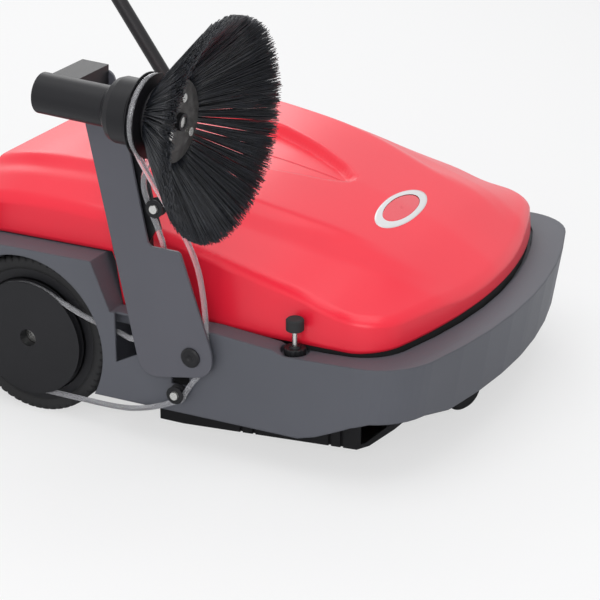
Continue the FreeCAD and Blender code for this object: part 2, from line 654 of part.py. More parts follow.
def broom():
    core = turned("broom_core",
                  [("0", "-bay_wall_y"), ("shaft_rad", "-bay_wall_y"),
                   ("shaft_rad", "-broom_half + 4"), ("core_rad", "-broom_half + 4"),
                   ("core_rad", "broom_half - 4"), ("shaft_rad", "broom_half - 4"),
                   ("shaft_rad", "gear_high"), ("0", "gear_high")])
    seat(core, broom_x, "0", broom_z, to_right)
    bristles = new_body("broom_bristles")
    turn_profile(bristles, disc("core_rad", "core_rad + 3", "-broom_half", "broom_half"))
    blade = add(bristles, "XY_Plane", "-broom_half", "broom_half",
                [("core_rad + 1", "-7"), ("broom_rad", "-10"), ("broom_rad + 0.3", "0"),
                 ("broom_rad", "10"), ("core_rad + 1", "7")])
    repeat(bristles, blade, "broom_rows")
    seat(bristles, broom_x, "0", broom_z, to_right)


# ---- side brush arm --------------------------------------------------------------------

def arm_cover():
    """Grey folded plate that carries the side brush and turns about the pivot bolt."""
    body = new_body("arm_cover")
    add(body, "XZ_Plane", "-plate_y", "-plate_y + plate_thick",
        [("-22", "113"), ("94", "135"), ("94", "168"), ("91", "181"), ("46", "319"),
         ("-4", "320"), ("-52", "570"), ("-117", "570")])
    cut(body, "XZ_Plane", "-plate_y - 1", "-plate_y + plate_thick + 1",
        ("pivot_x", "pivot_z", "11"))
    soften(body, "30", "y", [("-22", "113")])
    soften(body, "28", "y", [("94", "135")])
    soften(body, "15", "y", [("-52", "570"), ("-117", "570")])
    soften(body, "8", "y", [("46", "319"), ("-4", "320")])
    seat(body)


def arm_frame():
    """Black inner frame with the tab that comes down on the bumper."""
    body = new_body("arm_frame")
    inner = "-frame_y"
    outer = "-(frame_y + frame_thick)"
    add(body, "XZ_Plane", outer, inner,
        [("tab_x - 34", "tab_low"), ("tab_x + 6", "tab_low"), ("3", "343"), ("11", "343"),
         ("5", "366"), ("-2", "391"), ("-35", "540"), ("-105", "540")])
    add(body, "XZ_Plane", outer, inner, ("top_roller_x", "top_roller_z", "9.5"))
    add(body, "XZ_Plane", "-plate_y + plate_thick", f"{outer} + 0.5",
        [("tab_x - 34", "tab_low"), ("tab_x + 2", "tab_low"), ("-22", "330"), ("-48", "430"),
         ("-70", "540"), ("-105", "540")])
    add(body, "XY_Plane", "tab_low", "tab_high",
        [("tab_x", "-frame_y - 1"), ("tab_x", "-tab_in"), ("tab_x + 6", "-tab_in"),
         ("tab_x + 6", "-frame_y - 1")])
    cut(body, "XZ_Plane", f"{outer} - 1", f"{inner} + 1",
        ("top_roller_x", "top_roller_z", "roller_bolt"))
    seat(body)


def arm_pivot():
    """Bolt in the chassis wall, bush and cap on the arm. Z of the bodies points right."""
    bolt = turned("arm_pivot_bolt",
                  [("0", "-14"), ("13", "-14"), ("13", "-chassis_wall"),
                   ("pivot_rad", "-chassis_wall"), ("pivot_rad", "14"), ("0", "14")])
    seat(bolt, "pivot_x", "-chassis_half", "pivot_z", to_right)
    bush = turned("arm_bush",
                  [("pivot_rad + run_gap", "0.5"), ("14", "0.5"), ("14", "11"), ("11", "11"),
                   ("11", "15"), ("pivot_rad + run_gap", "15")])
    seat(bush, "pivot_x", "-chassis_half", "pivot_z", to_right)
    cap = turned("pivot_cap",
                 [("0", "1.2"), ("3", "1.6"), ("5", "3"), ("8", "3.8"), ("cap_rad - 3", "3.8"),
                  ("cap_rad", "2"), ("cap_rad", "0"), ("0", "0")])
    seat(cap, "pivot_x", "-plate_y", "pivot_z", to_right)


def roller(label, bolt_label, x, y, z, inner, shank):
    """Grooved belt roller on its own bolt, whose collar starts at the height inner."""
    half = "(belt_rad + 1.4)"
    wheel = turned(label,
                   [("roller_bolt + run_gap", f"-{half} - 1.4"), ("roller_rad", f"-{half} - 1.4"),
                    ("roller_rad", f"-{half}"), ("groove_rad + belt_rad", f"-{half} + 0.3"),
                    ("groove_rad + 0.2 * belt_rad", f"-0.7 * {half}"), ("groove_rad", "0"),
                    ("groove_rad + 0.2 * belt_rad", f"0.7 * {half}"),
                    ("groove_rad + belt_rad", f"{half} - 0.3"), ("roller_rad", half),
                    ("roller_rad", f"{half} + 1.4"),
                    ("roller_bolt + run_gap", f"{half} + 1.4")])
    seat(wheel, x, y, z, to_right)
    bolt = turned(bolt_label,
                  [("0", f"{inner} - {shank}"), ("roller_bolt", f"{inner} - {shank}"),
                   ("roller_bolt", inner), ("7", inner), ("7", f"-{half} - 1.6"),
                   ("roller_bolt", f"-{half} - 1.6"), ("roller_bolt", f"{half} + 1.6"),
                   ("7", f"{half} + 1.6"), ("6", f"{half} + 5"), ("0", f"{half} + 5")])
    seat(bolt, x, y, z, to_right)


def rollers():
    roller("lower_roller", "lower_roller_bolt", "low_roller_x", "-low_roller_y",
           "low_roller_z", "-(low_roller_y - chassis_half)", "(chassis_wall + 2)")
    roller("upper_roller", "upper_roller_bolt", "top_roller_x", "-top_roller_y",
           "top_roller_z", "-(top_roller_y - frame_y - frame_thick)", "frame_thick")


# ---- side brush. Z of the bodies points along the spindle, X points down ------------------

def brush_head():
    """Bracket, box and bearing housing between the arm and the brush."""
    body = new_body("brush_head")
    arm_side = "(brush_y - plate_y)"
    add(body, "XY_Plane", "-166", "-124", box("-20", "0", "22", f"{arm_side} - 4"))
    add(body, "XY_Plane", "-166", "-124",
        box("-20", f"{arm_side} - 4", "58", arm_side))
    turn_profile(body, [("0", "-166"), ("28", "-166"), ("28", "-60"), ("42", "-48"),
                        ("45", "-40"), ("45", "-14"), ("0", "-14")])
    cut(body, "XY_Plane", "-170", "-10", ("0", "0", "spindle_rad + run_gap"))
    seat(body, "brush_x", "-brush_y", "brush_z", brush_turn)


def side_brush():
    shaft = turned("brush_shaft",
                   [("0", "-172"), ("12", "-172"), ("12", "-166.4"), ("spindle_rad", "-166.4"),
                    ("spindle_rad", "hub_out + 8"), ("0", "hub_out + 8")])
    pulley = turned("brush_pulley", groove_profile("pulley_rad", "0", "spindle_rad", "-9"))
    disc_body = turned("brush_disc",
                       [("spindle_rad", "belt_rad + 2.5"), ("disc_rad - 6", "belt_rad + 2.5"),
                        ("disc_rad", "12"),
                        ("disc_rad", "38"), ("disc_rad - 4", "hub_out"),
                        ("spindle_rad", "hub_out")])
    plate = turned("hub_plate",
                   [("spindle_rad", "hub_out"), ("disc_rad - 4", "hub_out"),
                    ("hub_rad", "hub_out - 2"), ("hub_rad", "hub_out + 1"),
                    ("disc_rad - 4", "hub_out + 3"), ("spindle_rad", "hub_out + 3")])
    for body in (shaft, pulley, disc_body, plate):
        seat(body, "brush_x", "-brush_y", "brush_z", brush_turn)
    bolts = new_body("hub_bolts")
    bolt = add(bolts, "XY_Plane", "hub_out + 3", "hub_out + 8", ("11", "-30", "6"))
    repeat(bolts, bolt, "3")
    seat(bolts, "brush_x", "-brush_y", "brush_z", brush_turn)
    nut = turned("spindle_nut", disc("spindle_rad", "12", "hub_out + 3", "hub_out + 10"))
    seat(nut, "brush_x", "-brush_y", "brush_z", brush_turn)


def side_bristles():
    """Cone of bristles, slotted into tufts that stay joined at the root."""
    body = new_body("side_bristles")
    turn_profile(body,
                 [("disc_rad", "14"), ("disc_rad + 6", "14"), ("tip_rad - 3", "tip_out - 16"),
                  ("tip_rad", "tip_out - 4"), ("tip_rad - 8", "tip_out"),
                  ("disc_rad + 6", "33"), ("disc_rad", "33")])
    slot = cut(body, "XY_Plane", "10", "tip_out + 5",
               [("66", "-1"), ("tip_rad + 5", "-6"), ("tip_rad + 5", "6"), ("66", "1")])
    repeat(body, slot, "tufts")
    seat(body, "brush_x", "-brush_y", "brush_z", brush_turn)


def pulley_corners(centre, radius, before, after, count, across, up):
    """Corners of a polygon round a circle, whose outer sides run to two free points."""
    def touch(spot, sense):
        flat = ((spot - centre).dot(across), (spot - centre).dot(up))
        return math.atan2(flat[1], flat[0]) + sense * math.acos(radius / math.hypot(*flat))

    start = touch(before, 1)
    half_step = ((touch(after, -1) - start) % (2 * math.pi)) / count / 2
    reach = radius / math.cos(half_step)
    angles = [start + half_step * (2 * index + 1) for index in range(count)]
    return [centre + across * (reach * math.cos(angle)) + up * (reach * math.sin(angle))
            for angle in angles]


def rounded_loop(spots):
    """Closed path through corners, each rounded as widely as its two sides allow."""
    bends = []
    for before, corner, after in zip(spots[-1:] + spots[:-1], spots, spots[1:] + spots[:1]):
        back, ahead = before - corner, after - corner
        reach = 0.48 * min(back.Length, ahead.Length)
        back.normalize()
        ahead.normalize()
        half_turn = (math.pi - back.getAngle(ahead)) / 2
        depth = reach * math.tan(half_turn / 2)
        middle = corner + (back + ahead).normalize() * depth
        bends.append((corner + back * reach, middle, corner + ahead * reach))
    edges = []
    for bend, following in zip(bends, bends[1:] + bends[:1]):
        edges.append(Part.Arc(*bend).toShape())
        edges.append(Part.LineSegment(bend[2], following[0]).toShape())
    return edges


def drive_belt():
    """Round belt from the right wheel to the side brush, drawn as one closed loop."""
    back, left, up = Vector(-1, 0, 0), Vector(0, 1, 0), Vector(0, 0, 1)
    pitch = math.radians(number("brush_pitch"))
    tilted = Vector(math.sin(pitch), 0, math.cos(pitch))
    roller_reach = "groove_rad + belt_rad + 0.3"
    side = number("chassis_half")
    runs = [[Vector(x, -side - out, z) for x, out, z in run]
            for run in (belt_top, belt_rise, belt_return, belt_back)]
    wraps = [("brush_x", "brush_y", "brush_z", "pulley_rad", 6, left, tilted),
             ("low_roller_x", "low_roller_y", "low_roller_z", roller_reach, 2, back, up),
             ("wheel_x", "belt_y", "wheel_rad", "belt_wheel_rad", 6, back, up),
             ("top_roller_x", "top_roller_y", "top_roller_z", roller_reach, 2, back, up)]
    spots = []
    for run, following, wrap in zip(runs, runs[1:] + runs[:1], wraps):
        x, y, z, radius, count, across, over = wrap
        centre = Vector(number(x), -number(y), number(z))
        spots += run + pulley_corners(centre, number(radius), run[-1], following[0], count,
                                      across, over)
    edges = rounded_loop(spots)
    middle = len(edges) // 4 * 2
    halves = [sweep(Part.Wire(piece), number("belt_rad"))
              for piece in (edges[:middle], edges[middle:])]
    free_shape("drive_belt", Part.makeCompound(halves))


# ---- bumper stop -------------------------------------------------------------------------

def bumper():
    insert = turned("bumper_insert",
                    disc("stud_rad + run_gap", "stud_rad + 3", "0", "insert_tall"))
    seat(insert, "bumper_x", "-bumper_y", boss_low)
    stud = turned("bumper_stud",
                  disc("0", "stud_rad", f"{boss_low} - 5", "bumper_top - bumper_tall + 10"))
    seat(stud, "bumper_x", "-bumper_y", "0")
    rubber = turned("bumper_rubber",
                    [("stud_rad", "0"), ("bumper_rad - 1", "0"), ("bumper_rad", "1"),
                     ("bumper_rad", "bumper_tall - 2"), ("bumper_rad - 2", "bumper_tall"),
                     ("0", "bumper_tall"), ("0", "10"), ("stud_rad", "10")])
    seat(rubber, "bumper_x", "-bumper_y", "bumper_top - bumper_tall")
    nut = new_body("lock_nut")
    turn_profile(nut, [("stud_rad + run_gap", "0"), ("nut_rad - 1.5", "0"), ("nut_rad", "1.5"),
                       ("nut_rad", "nut_tall - 4"), ("nut_rad - 1.5", "nut_tall - 3"),
                       ("9", "nut_tall - 3"), ("8", "nut_tall"),
                       ("stud_rad + run_gap", "nut_tall")])
    notch = cut(nut, "XY_Plane", "-1", "nut_tall + 1", ("nut_rad + 1.2", "0", "2.4"))
    repeat(nut, notch, "12")
    seat(nut, "bumper_x", "-bumper_y", f"{pocket_floor} + 0.3")


# ---- castor ------------------------------------------------------------------------------

wheel_off_x = "(castor_trail * cos(castor_angle))"
wheel_off_y = "(castor_trail * sin(castor_angle))"


def castor():
    plate = new_body("castor_plate")
    add(plate, "XY_Plane", "castor_top + 1", "castor_top + 7",
        [("castor_x - 24", "-26"), ("castor_x + 12", "-26"), ("378", "-40"), ("388", "-40"),
         ("388", "40"), ("378", "40"), ("castor_x + 12", "26"), ("castor_x - 24", "26")])
    add(plate, "XY_Plane", "castor_top + 7", deck_under, box("380", "-40", "386", "40"))
    cut(plate, "XY_Plane", "castor_top - 1", "castor_top + 9",
        ("castor_x", "0", "kingpin_rad + run_gap"))
    seat(plate)
    turn = Rotation(Vector(0, 0, 1), number("castor_angle"))
    fork = new_body("castor_fork")
    turn_profile(fork, [("0", "castor_top - 6"), ("24", "castor_top - 6"), ("24", "castor_top"),
                        ("kingpin_rad", "castor_top"), ("kingpin_rad", "castor_top + 9"),
                        ("0", "castor_top + 9")])
    cheek = [("-14", "castor_top - 5"), ("22", "castor_top - 5"),
             ("castor_trail + 11", "castor_rad + 4"), ("castor_trail + 8", "castor_rad - 8"),
             ("castor_trail - 9", "castor_rad - 8")]
    for low, high in (("-castor_wide - 5", "-castor_wide - 2"),
                      ("castor_wide + 2", "castor_wide + 5")):
        add(fork, "XZ_Plane", low, high, cheek)
    cut(fork, "XZ_Plane", "-castor_wide - 9", "castor_wide + 9",
        ("castor_trail", "castor_rad", "4"))
    seat(fork, "castor_x", "0", "0", turn)
    axis = Rotation(Vector(0, 0, 1), number("castor_angle")).multiply(to_right)
    wheel = turned("castor_wheel",
                   [("4 + run_gap", "-castor_wide - 1"), ("9", "-castor_wide - 1"),
                    ("9", "-castor_wide + 3"), ("castor_rad - 4", "-castor_wide"),
                    ("castor_rad", "-castor_wide + 5"), ("castor_rad", "castor_wide - 5"),
                    ("castor_rad - 4", "castor_wide"), ("9", "castor_wide - 3"),
                    ("9", "castor_wide + 1"), ("4 + run_gap", "castor_wide + 1")])
    pin = turned("castor_axle",
                 [("0", "-castor_wide - 8"), ("7", "-castor_wide - 8"), ("7", "-castor_wide - 5"),
                  ("4", "-castor_wide - 5"), ("4", "castor_wide + 5"), ("7", "castor_wide + 5"),
                  ("7", "castor_wide + 8"), ("0", "castor_wide + 8")])
    for body in (wheel, pin):
        seat(body, f"castor_x + {wheel_off_x}", wheel_off_y, "castor_rad", axis)


# ---- push handle ---------------------------------------------------------------------------

def handle():
    """Bent tube, its foam grips and, on each side, bracket, bolt and clamp knob."""
    angle = math.radians(number("handle_angle"))
    along = Vector(math.cos(angle), 0, math.sin(angle))
    foot = Vector(number("handle_x"), 0, number("handle_z"))
    half, long, tube = number("handle_half"), number("handle_long"), number("tube_rad")
    side = Vector(0, half, 0)
    low, high = foot - along * 18, foot + along * long
    path = rounded_path([tuple(low - side), tuple(high - side), tuple(high + side),
                         tuple(low + side)], number("bend_rad"))
    shape = sweep(path, tube).cut(sweep(path, tube - number("tube_wall")))
    for sign in (-1, 1):
        shape = shape.cut(Part.makeCylinder(number("handle_bolt"), 40,
                                            foot + Vector(0, sign * half - 20, 0),
                                            Vector(0, 1, 0)))
    free_shape("handle_tube", shape)
    grip = turned("right_grip",
                  [("tube_rad", "0"), ("grip_rad - 2", "0"), ("grip_rad", "3"),
                   ("grip_rad", "grip_high - grip_low - 3"),
                   ("grip_rad - 2", "grip_high - grip_low"),
                   ("tube_rad", "grip_high - grip_low")])
    seat(grip, "handle_x + handle_long * cos(handle_angle)", "-grip_low",
         "handle_z + handle_long * sin(handle_angle)", to_right)
    pair("handle_grips", grip)


def handle_clamps():
    """Bracket, bolt and clamp knob on each side of the handle."""
    span = "(handle_z - fender_z)"
    bracket = new_body("right_handle_bracket")
    add(bracket, "XY_Plane", f"-{span}", f"-{span} + 3", box("-30", "-16", "30", "16"))
    for inner, outer in (("-16", "-13.3"), ("13.3", "16")):
        add(bracket, "XZ_Plane", inner, outer,
            [("-26", f"-{span}"), ("26", f"-{span}"), ("16", "14"), ("8", "20"), ("-8", "20"),
             ("-16", "14")])
    cut(bracket, "XZ_Plane", "-17", "17", ("0", "0", "handle_bolt + run_gap"))
    seat(bracket, "handle_x", "-handle_half", "handle_z")
    pair("handle_brackets", bracket)
    bolt = turned("right_handle_bolt",
                  [("0", "-17.6"), ("10", "-17.6"), ("10", "-16.1"), ("handle_bolt", "-16.1"),
                   ("handle_bolt", "24"), ("0", "24")])
    seat(bolt, "handle_x", "-handle_half", "handle_z", to_right)
    pair("handle_bolts", bolt)
    for side, turn, sign in (("right", to_right, "-"), ("left", to_left, "")):
        knob = new_body(f"{side}_handle_knob")
        turn_profile(knob, [("handle_bolt + run_gap", "16.3"), ("12", "16.3"), ("12", "20"),
                            ("20", "22"), ("20", "knob_out - 3"), ("16", "knob_out"),
                            ("0", "knob_out"), ("0", "24.4"),
                            ("handle_bolt + run_gap", "24.4")])
        lobe = cut(knob, "XY_Plane", "20.5", "40", ("24", "0", "8"))
        repeat(knob, lobe, "5")
        seat(knob, "handle_x", f"{sign}handle_half", "handle_z", turn)


# ---- hood ----------------------------------------------------------------------------------

def hood_solid(inset):
    """Everything under the hood's outer skin, or under that skin moved inwards."""
    rings = []
    for height in ("100", "hood_low", "hood_high"):
        lean = f"({inset} + hood_lean * ({height} - hood_low))" if height != "100" else str(inset)
        rear = f"hood_rear - {lean} + {inset}"
        corners = both_sides(hood_plan(lean, rear))
        rings.append(polygon([(number(x), number(y), number(height)) for x, y in corners]))
    walls = Part.makeLoft(rings, True, True)
    ribs = []
    rim_y = number("hood_half") - 10
    for x, crown, recess, deep, centre, drop, crease, rim in hood_sections:
        low = crown - 3 - drop
        bend = low + (rim - low) * (crease - centre - 17) / (rim_y - centre - 17) + 3
        half = [(recess - 9 if deep else recess * 0.5, crown - deep), (recess, crown - 0.5),
                (centre, crown - 3), (centre + 17, low), (crease, bend), (rim_y, rim),
                (rim_y + 37, rim - 16), (rim_y + 37, 60)]
        line = [(y, z - inset) for y, z in half]
        line = [(-y, z) for y, z in reversed(line)] + line
        ribs.append(polygon([(x, y, z) for y, z in line]))
    top = Part.makeLoft(ribs, True, True)
    return walls.common(top)


def hood():
    outside = hood_solid(0)
    low, nose = number("hood_low"), number("hood_nose_low")
    over = number("fender_z") + 2
    below = prism_along_y([(-420, 50), (-420, over), (number(fender_foot) + 2.5, over),
                           (number("fender_x") + 4, number("deck_high") - 1),
                           (number("fender_x") + 5, low), (290, low), (410, nose), (410, 50)],
                          -number("chassis_half + 55"), number("chassis_half + 55"))
    shell = outside.cut(hood_solid(number("hood_wall"))).cut(below)
    free_shape("hood_shell", shell)
    centre = Vector(number("badge_x"), -number("badge_y"), 0)
    oval = Part.Ellipse(centre + Vector(0, 0, 250), number("badge_long"), number("badge_wide"))
    prism = Part.Face(Part.Wire([oval.toShape()])).extrude(Vector(0, 0, 100))
    prism.rotate(centre, Vector(0, 0, 1), 90)
    raised = outside.copy()
    raised.translate(Vector(0, 0, number("badge_thick")))
    free_shape("badge_plate", prism.common(raised).cut(outside))


def hood_hinges():
    """Bracket, pin and hood lug at each end of the hood's hinge line."""
    place = ("hinge_x", "-hinge_y", "hinge_z")
    drop = "(hinge_z - fender_z)"
    bracket = new_body("right_hood_bracket")
    for low, high in (("-13", "-9"), ("9", "13")):
        add(bracket, "XZ_Plane", low, high,
            [("-9", f"-{drop}"), ("7.5", f"-{drop}"), ("6", "4"), ("3", "7"), ("-3", "7"),
             ("-7", "3")])
    add(bracket, "XY_Plane", f"-{drop}", f"-{drop} + 3", box("-9", "-13", "7.5", "13"))
    cut(bracket, "XZ_Plane", "-14", "14", ("0", "0", "hinge_pin"))
    seat(bracket, *place)
    pin = turned("right_hinge_pin",
                 [("0", "-13"), ("hinge_pin", "-13"), ("hinge_pin", "13"), ("0", "13")])
    seat(pin, *place, to_right)
    lug = new_body("right_hood_lug")
    add(lug, "XZ_Plane", "-8.5", "8.5",
        [("-5", "-4.5"), ("-2", "-6.5"), ("10", "-7.5"), ("10", "26"), ("5", "26"),
         ("-6", "4")])
    cut(lug, "XZ_Plane", "-9", "9", ("0", "0", "hinge_pin + run_gap"))
    seat(lug, *place)
    pair("hood_brackets", bracket)
    pair("hinge_pins", pin)
    pair("hood_lugs", lug)


to_right = Rotation(Vector(1, 0, 0), 90)
to_left = Rotation(Vector(1, 0, 0), -90)
brush_turn = Rotation(Vector(0, 1, 0), 90 + number("brush_pitch"))

chassis_frame()
hopper_tub()
hopper_handle()
hopper_pivots()
hood_seal()
rear_flap()
axles()
wheels()
gears()
broom()
arm_cover()
arm_frame()
arm_pivot()
rollers()
brush_head()
side_brush()
side_bristles()
drive_belt()
bumper()
castor()
handle()
handle_clamps()
hood()
hood_hinges()

doc.recompute()
os.makedirs("parts", exist_ok=True)
for item in doc.Objects:
    if any(state in item.State for state in ("Invalid", "Error")):
        raise RuntimeError(f"{item.Label} is {item.State}")
for node in nodes:
    if node.Shape.isNull() or not node.Shape.isValid() or not node.Shape.Solids:
        raise RuntimeError(f"{node.Label} has no valid shape")
    node.Shape.exportStep(f"parts/{node.Label}.step")
    bounds = node.Shape.BoundBox
    print(f"{node.Label:22s} X {bounds.XMin:8.1f} {bounds.XMax:8.1f}  Y {bounds.YMin:8.1f}"
          f" {bounds.YMax:8.1f}  Z {bounds.ZMin:7.1f} {bounds.ZMax:7.1f}"
          f"  solids {len(node.Shape.Solids)}")
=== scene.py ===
import json
import math

import bpy
import numpy as np
from mathutils import Matrix, Vector


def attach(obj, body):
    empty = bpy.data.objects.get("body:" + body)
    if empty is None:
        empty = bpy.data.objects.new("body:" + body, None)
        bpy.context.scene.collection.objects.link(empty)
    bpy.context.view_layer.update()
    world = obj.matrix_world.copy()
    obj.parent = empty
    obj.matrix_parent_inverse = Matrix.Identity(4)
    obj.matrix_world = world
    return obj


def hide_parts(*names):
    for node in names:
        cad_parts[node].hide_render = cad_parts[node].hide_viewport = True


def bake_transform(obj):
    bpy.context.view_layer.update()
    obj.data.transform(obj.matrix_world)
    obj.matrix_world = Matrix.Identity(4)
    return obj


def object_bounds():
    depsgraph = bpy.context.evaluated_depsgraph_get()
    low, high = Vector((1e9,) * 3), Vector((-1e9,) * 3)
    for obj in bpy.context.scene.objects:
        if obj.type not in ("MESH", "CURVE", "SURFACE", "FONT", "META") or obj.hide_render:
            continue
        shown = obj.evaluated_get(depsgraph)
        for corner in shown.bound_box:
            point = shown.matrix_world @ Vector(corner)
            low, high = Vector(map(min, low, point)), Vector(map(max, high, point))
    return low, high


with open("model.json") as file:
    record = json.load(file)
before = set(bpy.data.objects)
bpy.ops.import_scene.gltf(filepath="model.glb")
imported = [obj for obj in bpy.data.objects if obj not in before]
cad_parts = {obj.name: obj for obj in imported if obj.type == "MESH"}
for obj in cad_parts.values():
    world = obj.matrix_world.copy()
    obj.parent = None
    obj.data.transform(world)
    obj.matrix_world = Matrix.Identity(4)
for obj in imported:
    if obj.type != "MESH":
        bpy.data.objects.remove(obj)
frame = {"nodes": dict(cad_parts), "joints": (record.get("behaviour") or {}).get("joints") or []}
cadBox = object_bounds()
joints = {joint["name"]: joint for joint in frame["joints"]}

# Sizes below are in millimetres from the machine's own datum: middle of the hood across,
# floor level, and the arm's pivot bolt at x 60, y -360, z 160. The shift takes them to the row.
pivotSpot = np.array([60.0, -360.0, 160.0])
datumShift = np.array(joints["arm_fold"]["pos_m"]) - pivotSpot / 1000


def place(points):
    # millimetres from the datum to metres in the row frame
    return np.asarray(points, float) / 1000 + datumShift


def buildMesh(name, points, faces):
    # faces: list of index arrays, each (count, corners), written in one go with foreach_set
    mesh = bpy.data.meshes.new(name)
    sizes = np.concatenate([np.full(len(block), block.shape[1]) for block in faces])
    corners = np.concatenate([block.ravel() for block in faces])
    mesh.vertices.add(len(points))
    mesh.vertices.foreach_set("co", np.ascontiguousarray(points, np.float32).ravel())
    mesh.loops.add(len(corners))
    mesh.loops.foreach_set("vertex_index", corners.astype(np.int32))
    mesh.polygons.add(len(sizes))
    starts = np.concatenate([[0], np.cumsum(sizes)[:-1]])
    mesh.polygons.foreach_set("loop_start", starts.astype(np.int32))
    mesh.polygons.foreach_set("use_smooth", np.ones(len(sizes), bool))
    mesh.update(calc_edges=True)
    mesh.validate()
    piece = bpy.data.objects.new(name, mesh)
    bpy.context.scene.collection.objects.link(piece)
    return piece


def gridFaces(rows, across, closeAcross=False, closeRows=False, start=0):
    # quads of a rows x across grid of points, joined end to end where asked
    lastRow = rows if closeRows else rows - 1
    lastAcross = across if closeAcross else across - 1
    r, a = np.meshgrid(np.arange(lastRow), np.arange(lastAcross), indexing="ij")
    nextRow, nextAcross = (r + 1) % rows, (a + 1) % across
    quads = np.stack([r * across + a, r * across + nextAcross,
                      nextRow * across + nextAcross, nextRow * across + a], axis=-1)
    return quads.reshape(-1, 4) + start


def strandSet(name, lines, radii, sides=4):
    # lines (count, rings, 3) and radii (count, rings): every strand is a closed prism whose
    # ring at a point is point + radius * (cos t * first normal + sin t * second normal)
    count, rings = radii.shape
    along = np.gradient(lines, axis=1)
    along /= np.linalg.norm(along, axis=2, keepdims=True)
    lead = np.where(np.abs(along[..., 2:3]) < 0.8, [[[0.0, 0.0, 1.0]]], [[[1.0, 0.0, 0.0]]])
    first = np.cross(along, lead)
    first /= np.linalg.norm(first, axis=2, keepdims=True)
    second = np.cross(along, first)
    turn = np.arange(sides) * 2 * np.pi / sides
    ring = (first[:, :, None] * np.cos(turn)[None, None, :, None]
            + second[:, :, None] * np.sin(turn)[None, None, :, None])
    points = lines[:, :, None] + ring * radii[:, :, None, None]
    one = gridFaces(rings, sides, closeAcross=True)
    offsets = (np.arange(count) * rings * sides)[:, None, None]
    walls = (one[None] + offsets).reshape(-1, 4)
    caps = np.stack([np.arange(sides)[::-1], np.arange(sides) + (rings - 1) * sides])
    caps = (caps[None] + offsets).reshape(-1, sides)
    return buildMesh(name, place(points.reshape(-1, 3)), [walls, caps])


def profileAt(table, x):
    # smooth curve through the table's rows: cubic with slopes from neighbouring rows
    table = np.array(table, float)
    xs, values = table[:, 0], table[:, 1:]
    slopes = np.gradient(values, xs, axis=0)
    k = np.clip(np.searchsorted(xs, x) - 1, 0, len(xs) - 2)
    width = (xs[k + 1] - xs[k])[:, None]
    t = ((x - xs[k])[:, None] / width)
    return ((2 * t**3 - 3 * t**2 + 1) * values[k] + (t**3 - 2 * t**2 + t) * width * slopes[k]
            + (3 * t**2 - 2 * t**3) * values[k + 1] + (t**3 - t**2) * width * slopes[k + 1])


def blur(values, spread, axis):
    # running average with a bell-shaped weight, ends held
    reach = int(math.ceil(spread * 3))
    bell = np.exp(-0.5 * (np.arange(-reach, reach + 1) / spread) ** 2)
    pads = [(0, 0), (0, 0)]
    pads[axis] = (reach, reach)
    padded = np.pad(values, pads, mode="edge")
    return np.apply_along_axis(lambda line: np.convolve(line, bell / bell.sum(), "valid"),
                               axis, padded)


def ease(t):
    t = np.clip(t, 0, 1)
    return t * t * (3 - 2 * t)


def newMaterial(name):
    material = bpy.data.materials.new(name)
    material.use_nodes = True
    return material, material.node_tree.nodes, material.node_tree.links


def makeFinish(name, look):
    # moulded, painted or rubber surface: two tones mixed by broad noise, fine grain as bump
    # and as a small change of roughness, all on Object coordinates
    material, nodes, links = newMaterial(name)
    shader = nodes["Principled BSDF"]
    coords = nodes.new("ShaderNodeTexCoord")
    broad = nodes.new("ShaderNodeTexNoise")
    broad.inputs["Scale"].default_value = look.get("cloudScale", 9)
    broad.inputs["Detail"].default_value = 3
    links.new(coords.outputs["Object"], broad.inputs["Vector"])
    tones = nodes.new("ShaderNodeValToRGB")
    base = np.array(look["colour"])
    vary = look.get("vary", 0.06)
    tones.color_ramp.elements[0].position = 0.3
    tones.color_ramp.elements[1].position = 0.7
    tones.color_ramp.elements[0].color = [*(base * (1 - vary)), 1]
    tones.color_ramp.elements[1].color = [*np.minimum(base * (1 + vary), 1), 1]
    links.new(broad.outputs["Fac"], tones.inputs["Fac"])
    links.new(tones.outputs["Color"], shader.inputs["Base Color"])
    grain = nodes.new("ShaderNodeTexNoise")
    grain.inputs["Scale"].default_value = look.get("grainScale", 900)
    grain.inputs["Detail"].default_value = look.get("grainDetail", 2)
    if "stretch" in look:
        mapping = nodes.new("ShaderNodeMapping")
        mapping.inputs["Scale"].default_value = look["stretch"]
        links.new(coords.outputs["Object"], mapping.inputs["Vector"])
        links.new(mapping.outputs["Vector"], grain.inputs["Vector"])
    else:
        links.new(coords.outputs["Object"], grain.inputs["Vector"])
    rough = nodes.new("ShaderNodeMapRange")
    rough.inputs["To Min"].default_value = max(look["rough"] - look.get("roughVary", 0.05), 0.02)
    rough.inputs["To Max"].default_value = look["rough"] + look.get("roughVary", 0.05)
    links.new(grain.outputs["Fac"], rough.inputs["Value"])
    links.new(rough.outputs["Result"], shader.inputs["Roughness"])
    bump = nodes.new("ShaderNodeBump")
    bump.inputs["Strength"].default_value = look.get("bump", 0.15)
    bump.inputs["Distance"].default_value = look.get("bumpDepth", 0.0004)
    links.new(grain.outputs["Fac"], bump.inputs["Height"])
    if "soften" in look:
        rounding = nodes.new("ShaderNodeBevel")
        rounding.samples = 4
        rounding.inputs["Radius"].default_value = look["soften"]
        links.new(rounding.outputs["Normal"], bump.inputs["Normal"])
    links.new(bump.outputs["Normal"], shader.inputs["Normal"])
    shader.inputs["Metallic"].default_value = look.get("metal", 0)
    shader.inputs["Specular IOR Level"].default_value = look.get("specular", 0.5)
    shader.inputs["Coat Weight"].default_value = look.get("coat", 0)
    shader.inputs["Coat Roughness"].default_value = look.get("coatRough", 0.1)
    shader.inputs["Sheen Weight"].default_value = look.get("sheen", 0)
    shader.inputs["Transmission Weight"].default_value = look.get("through", 0)
    shader.inputs["IOR"].default_value = look.get("ior", 1.5)
    material.diffuse_color = [*look["colour"], 1]
    return material


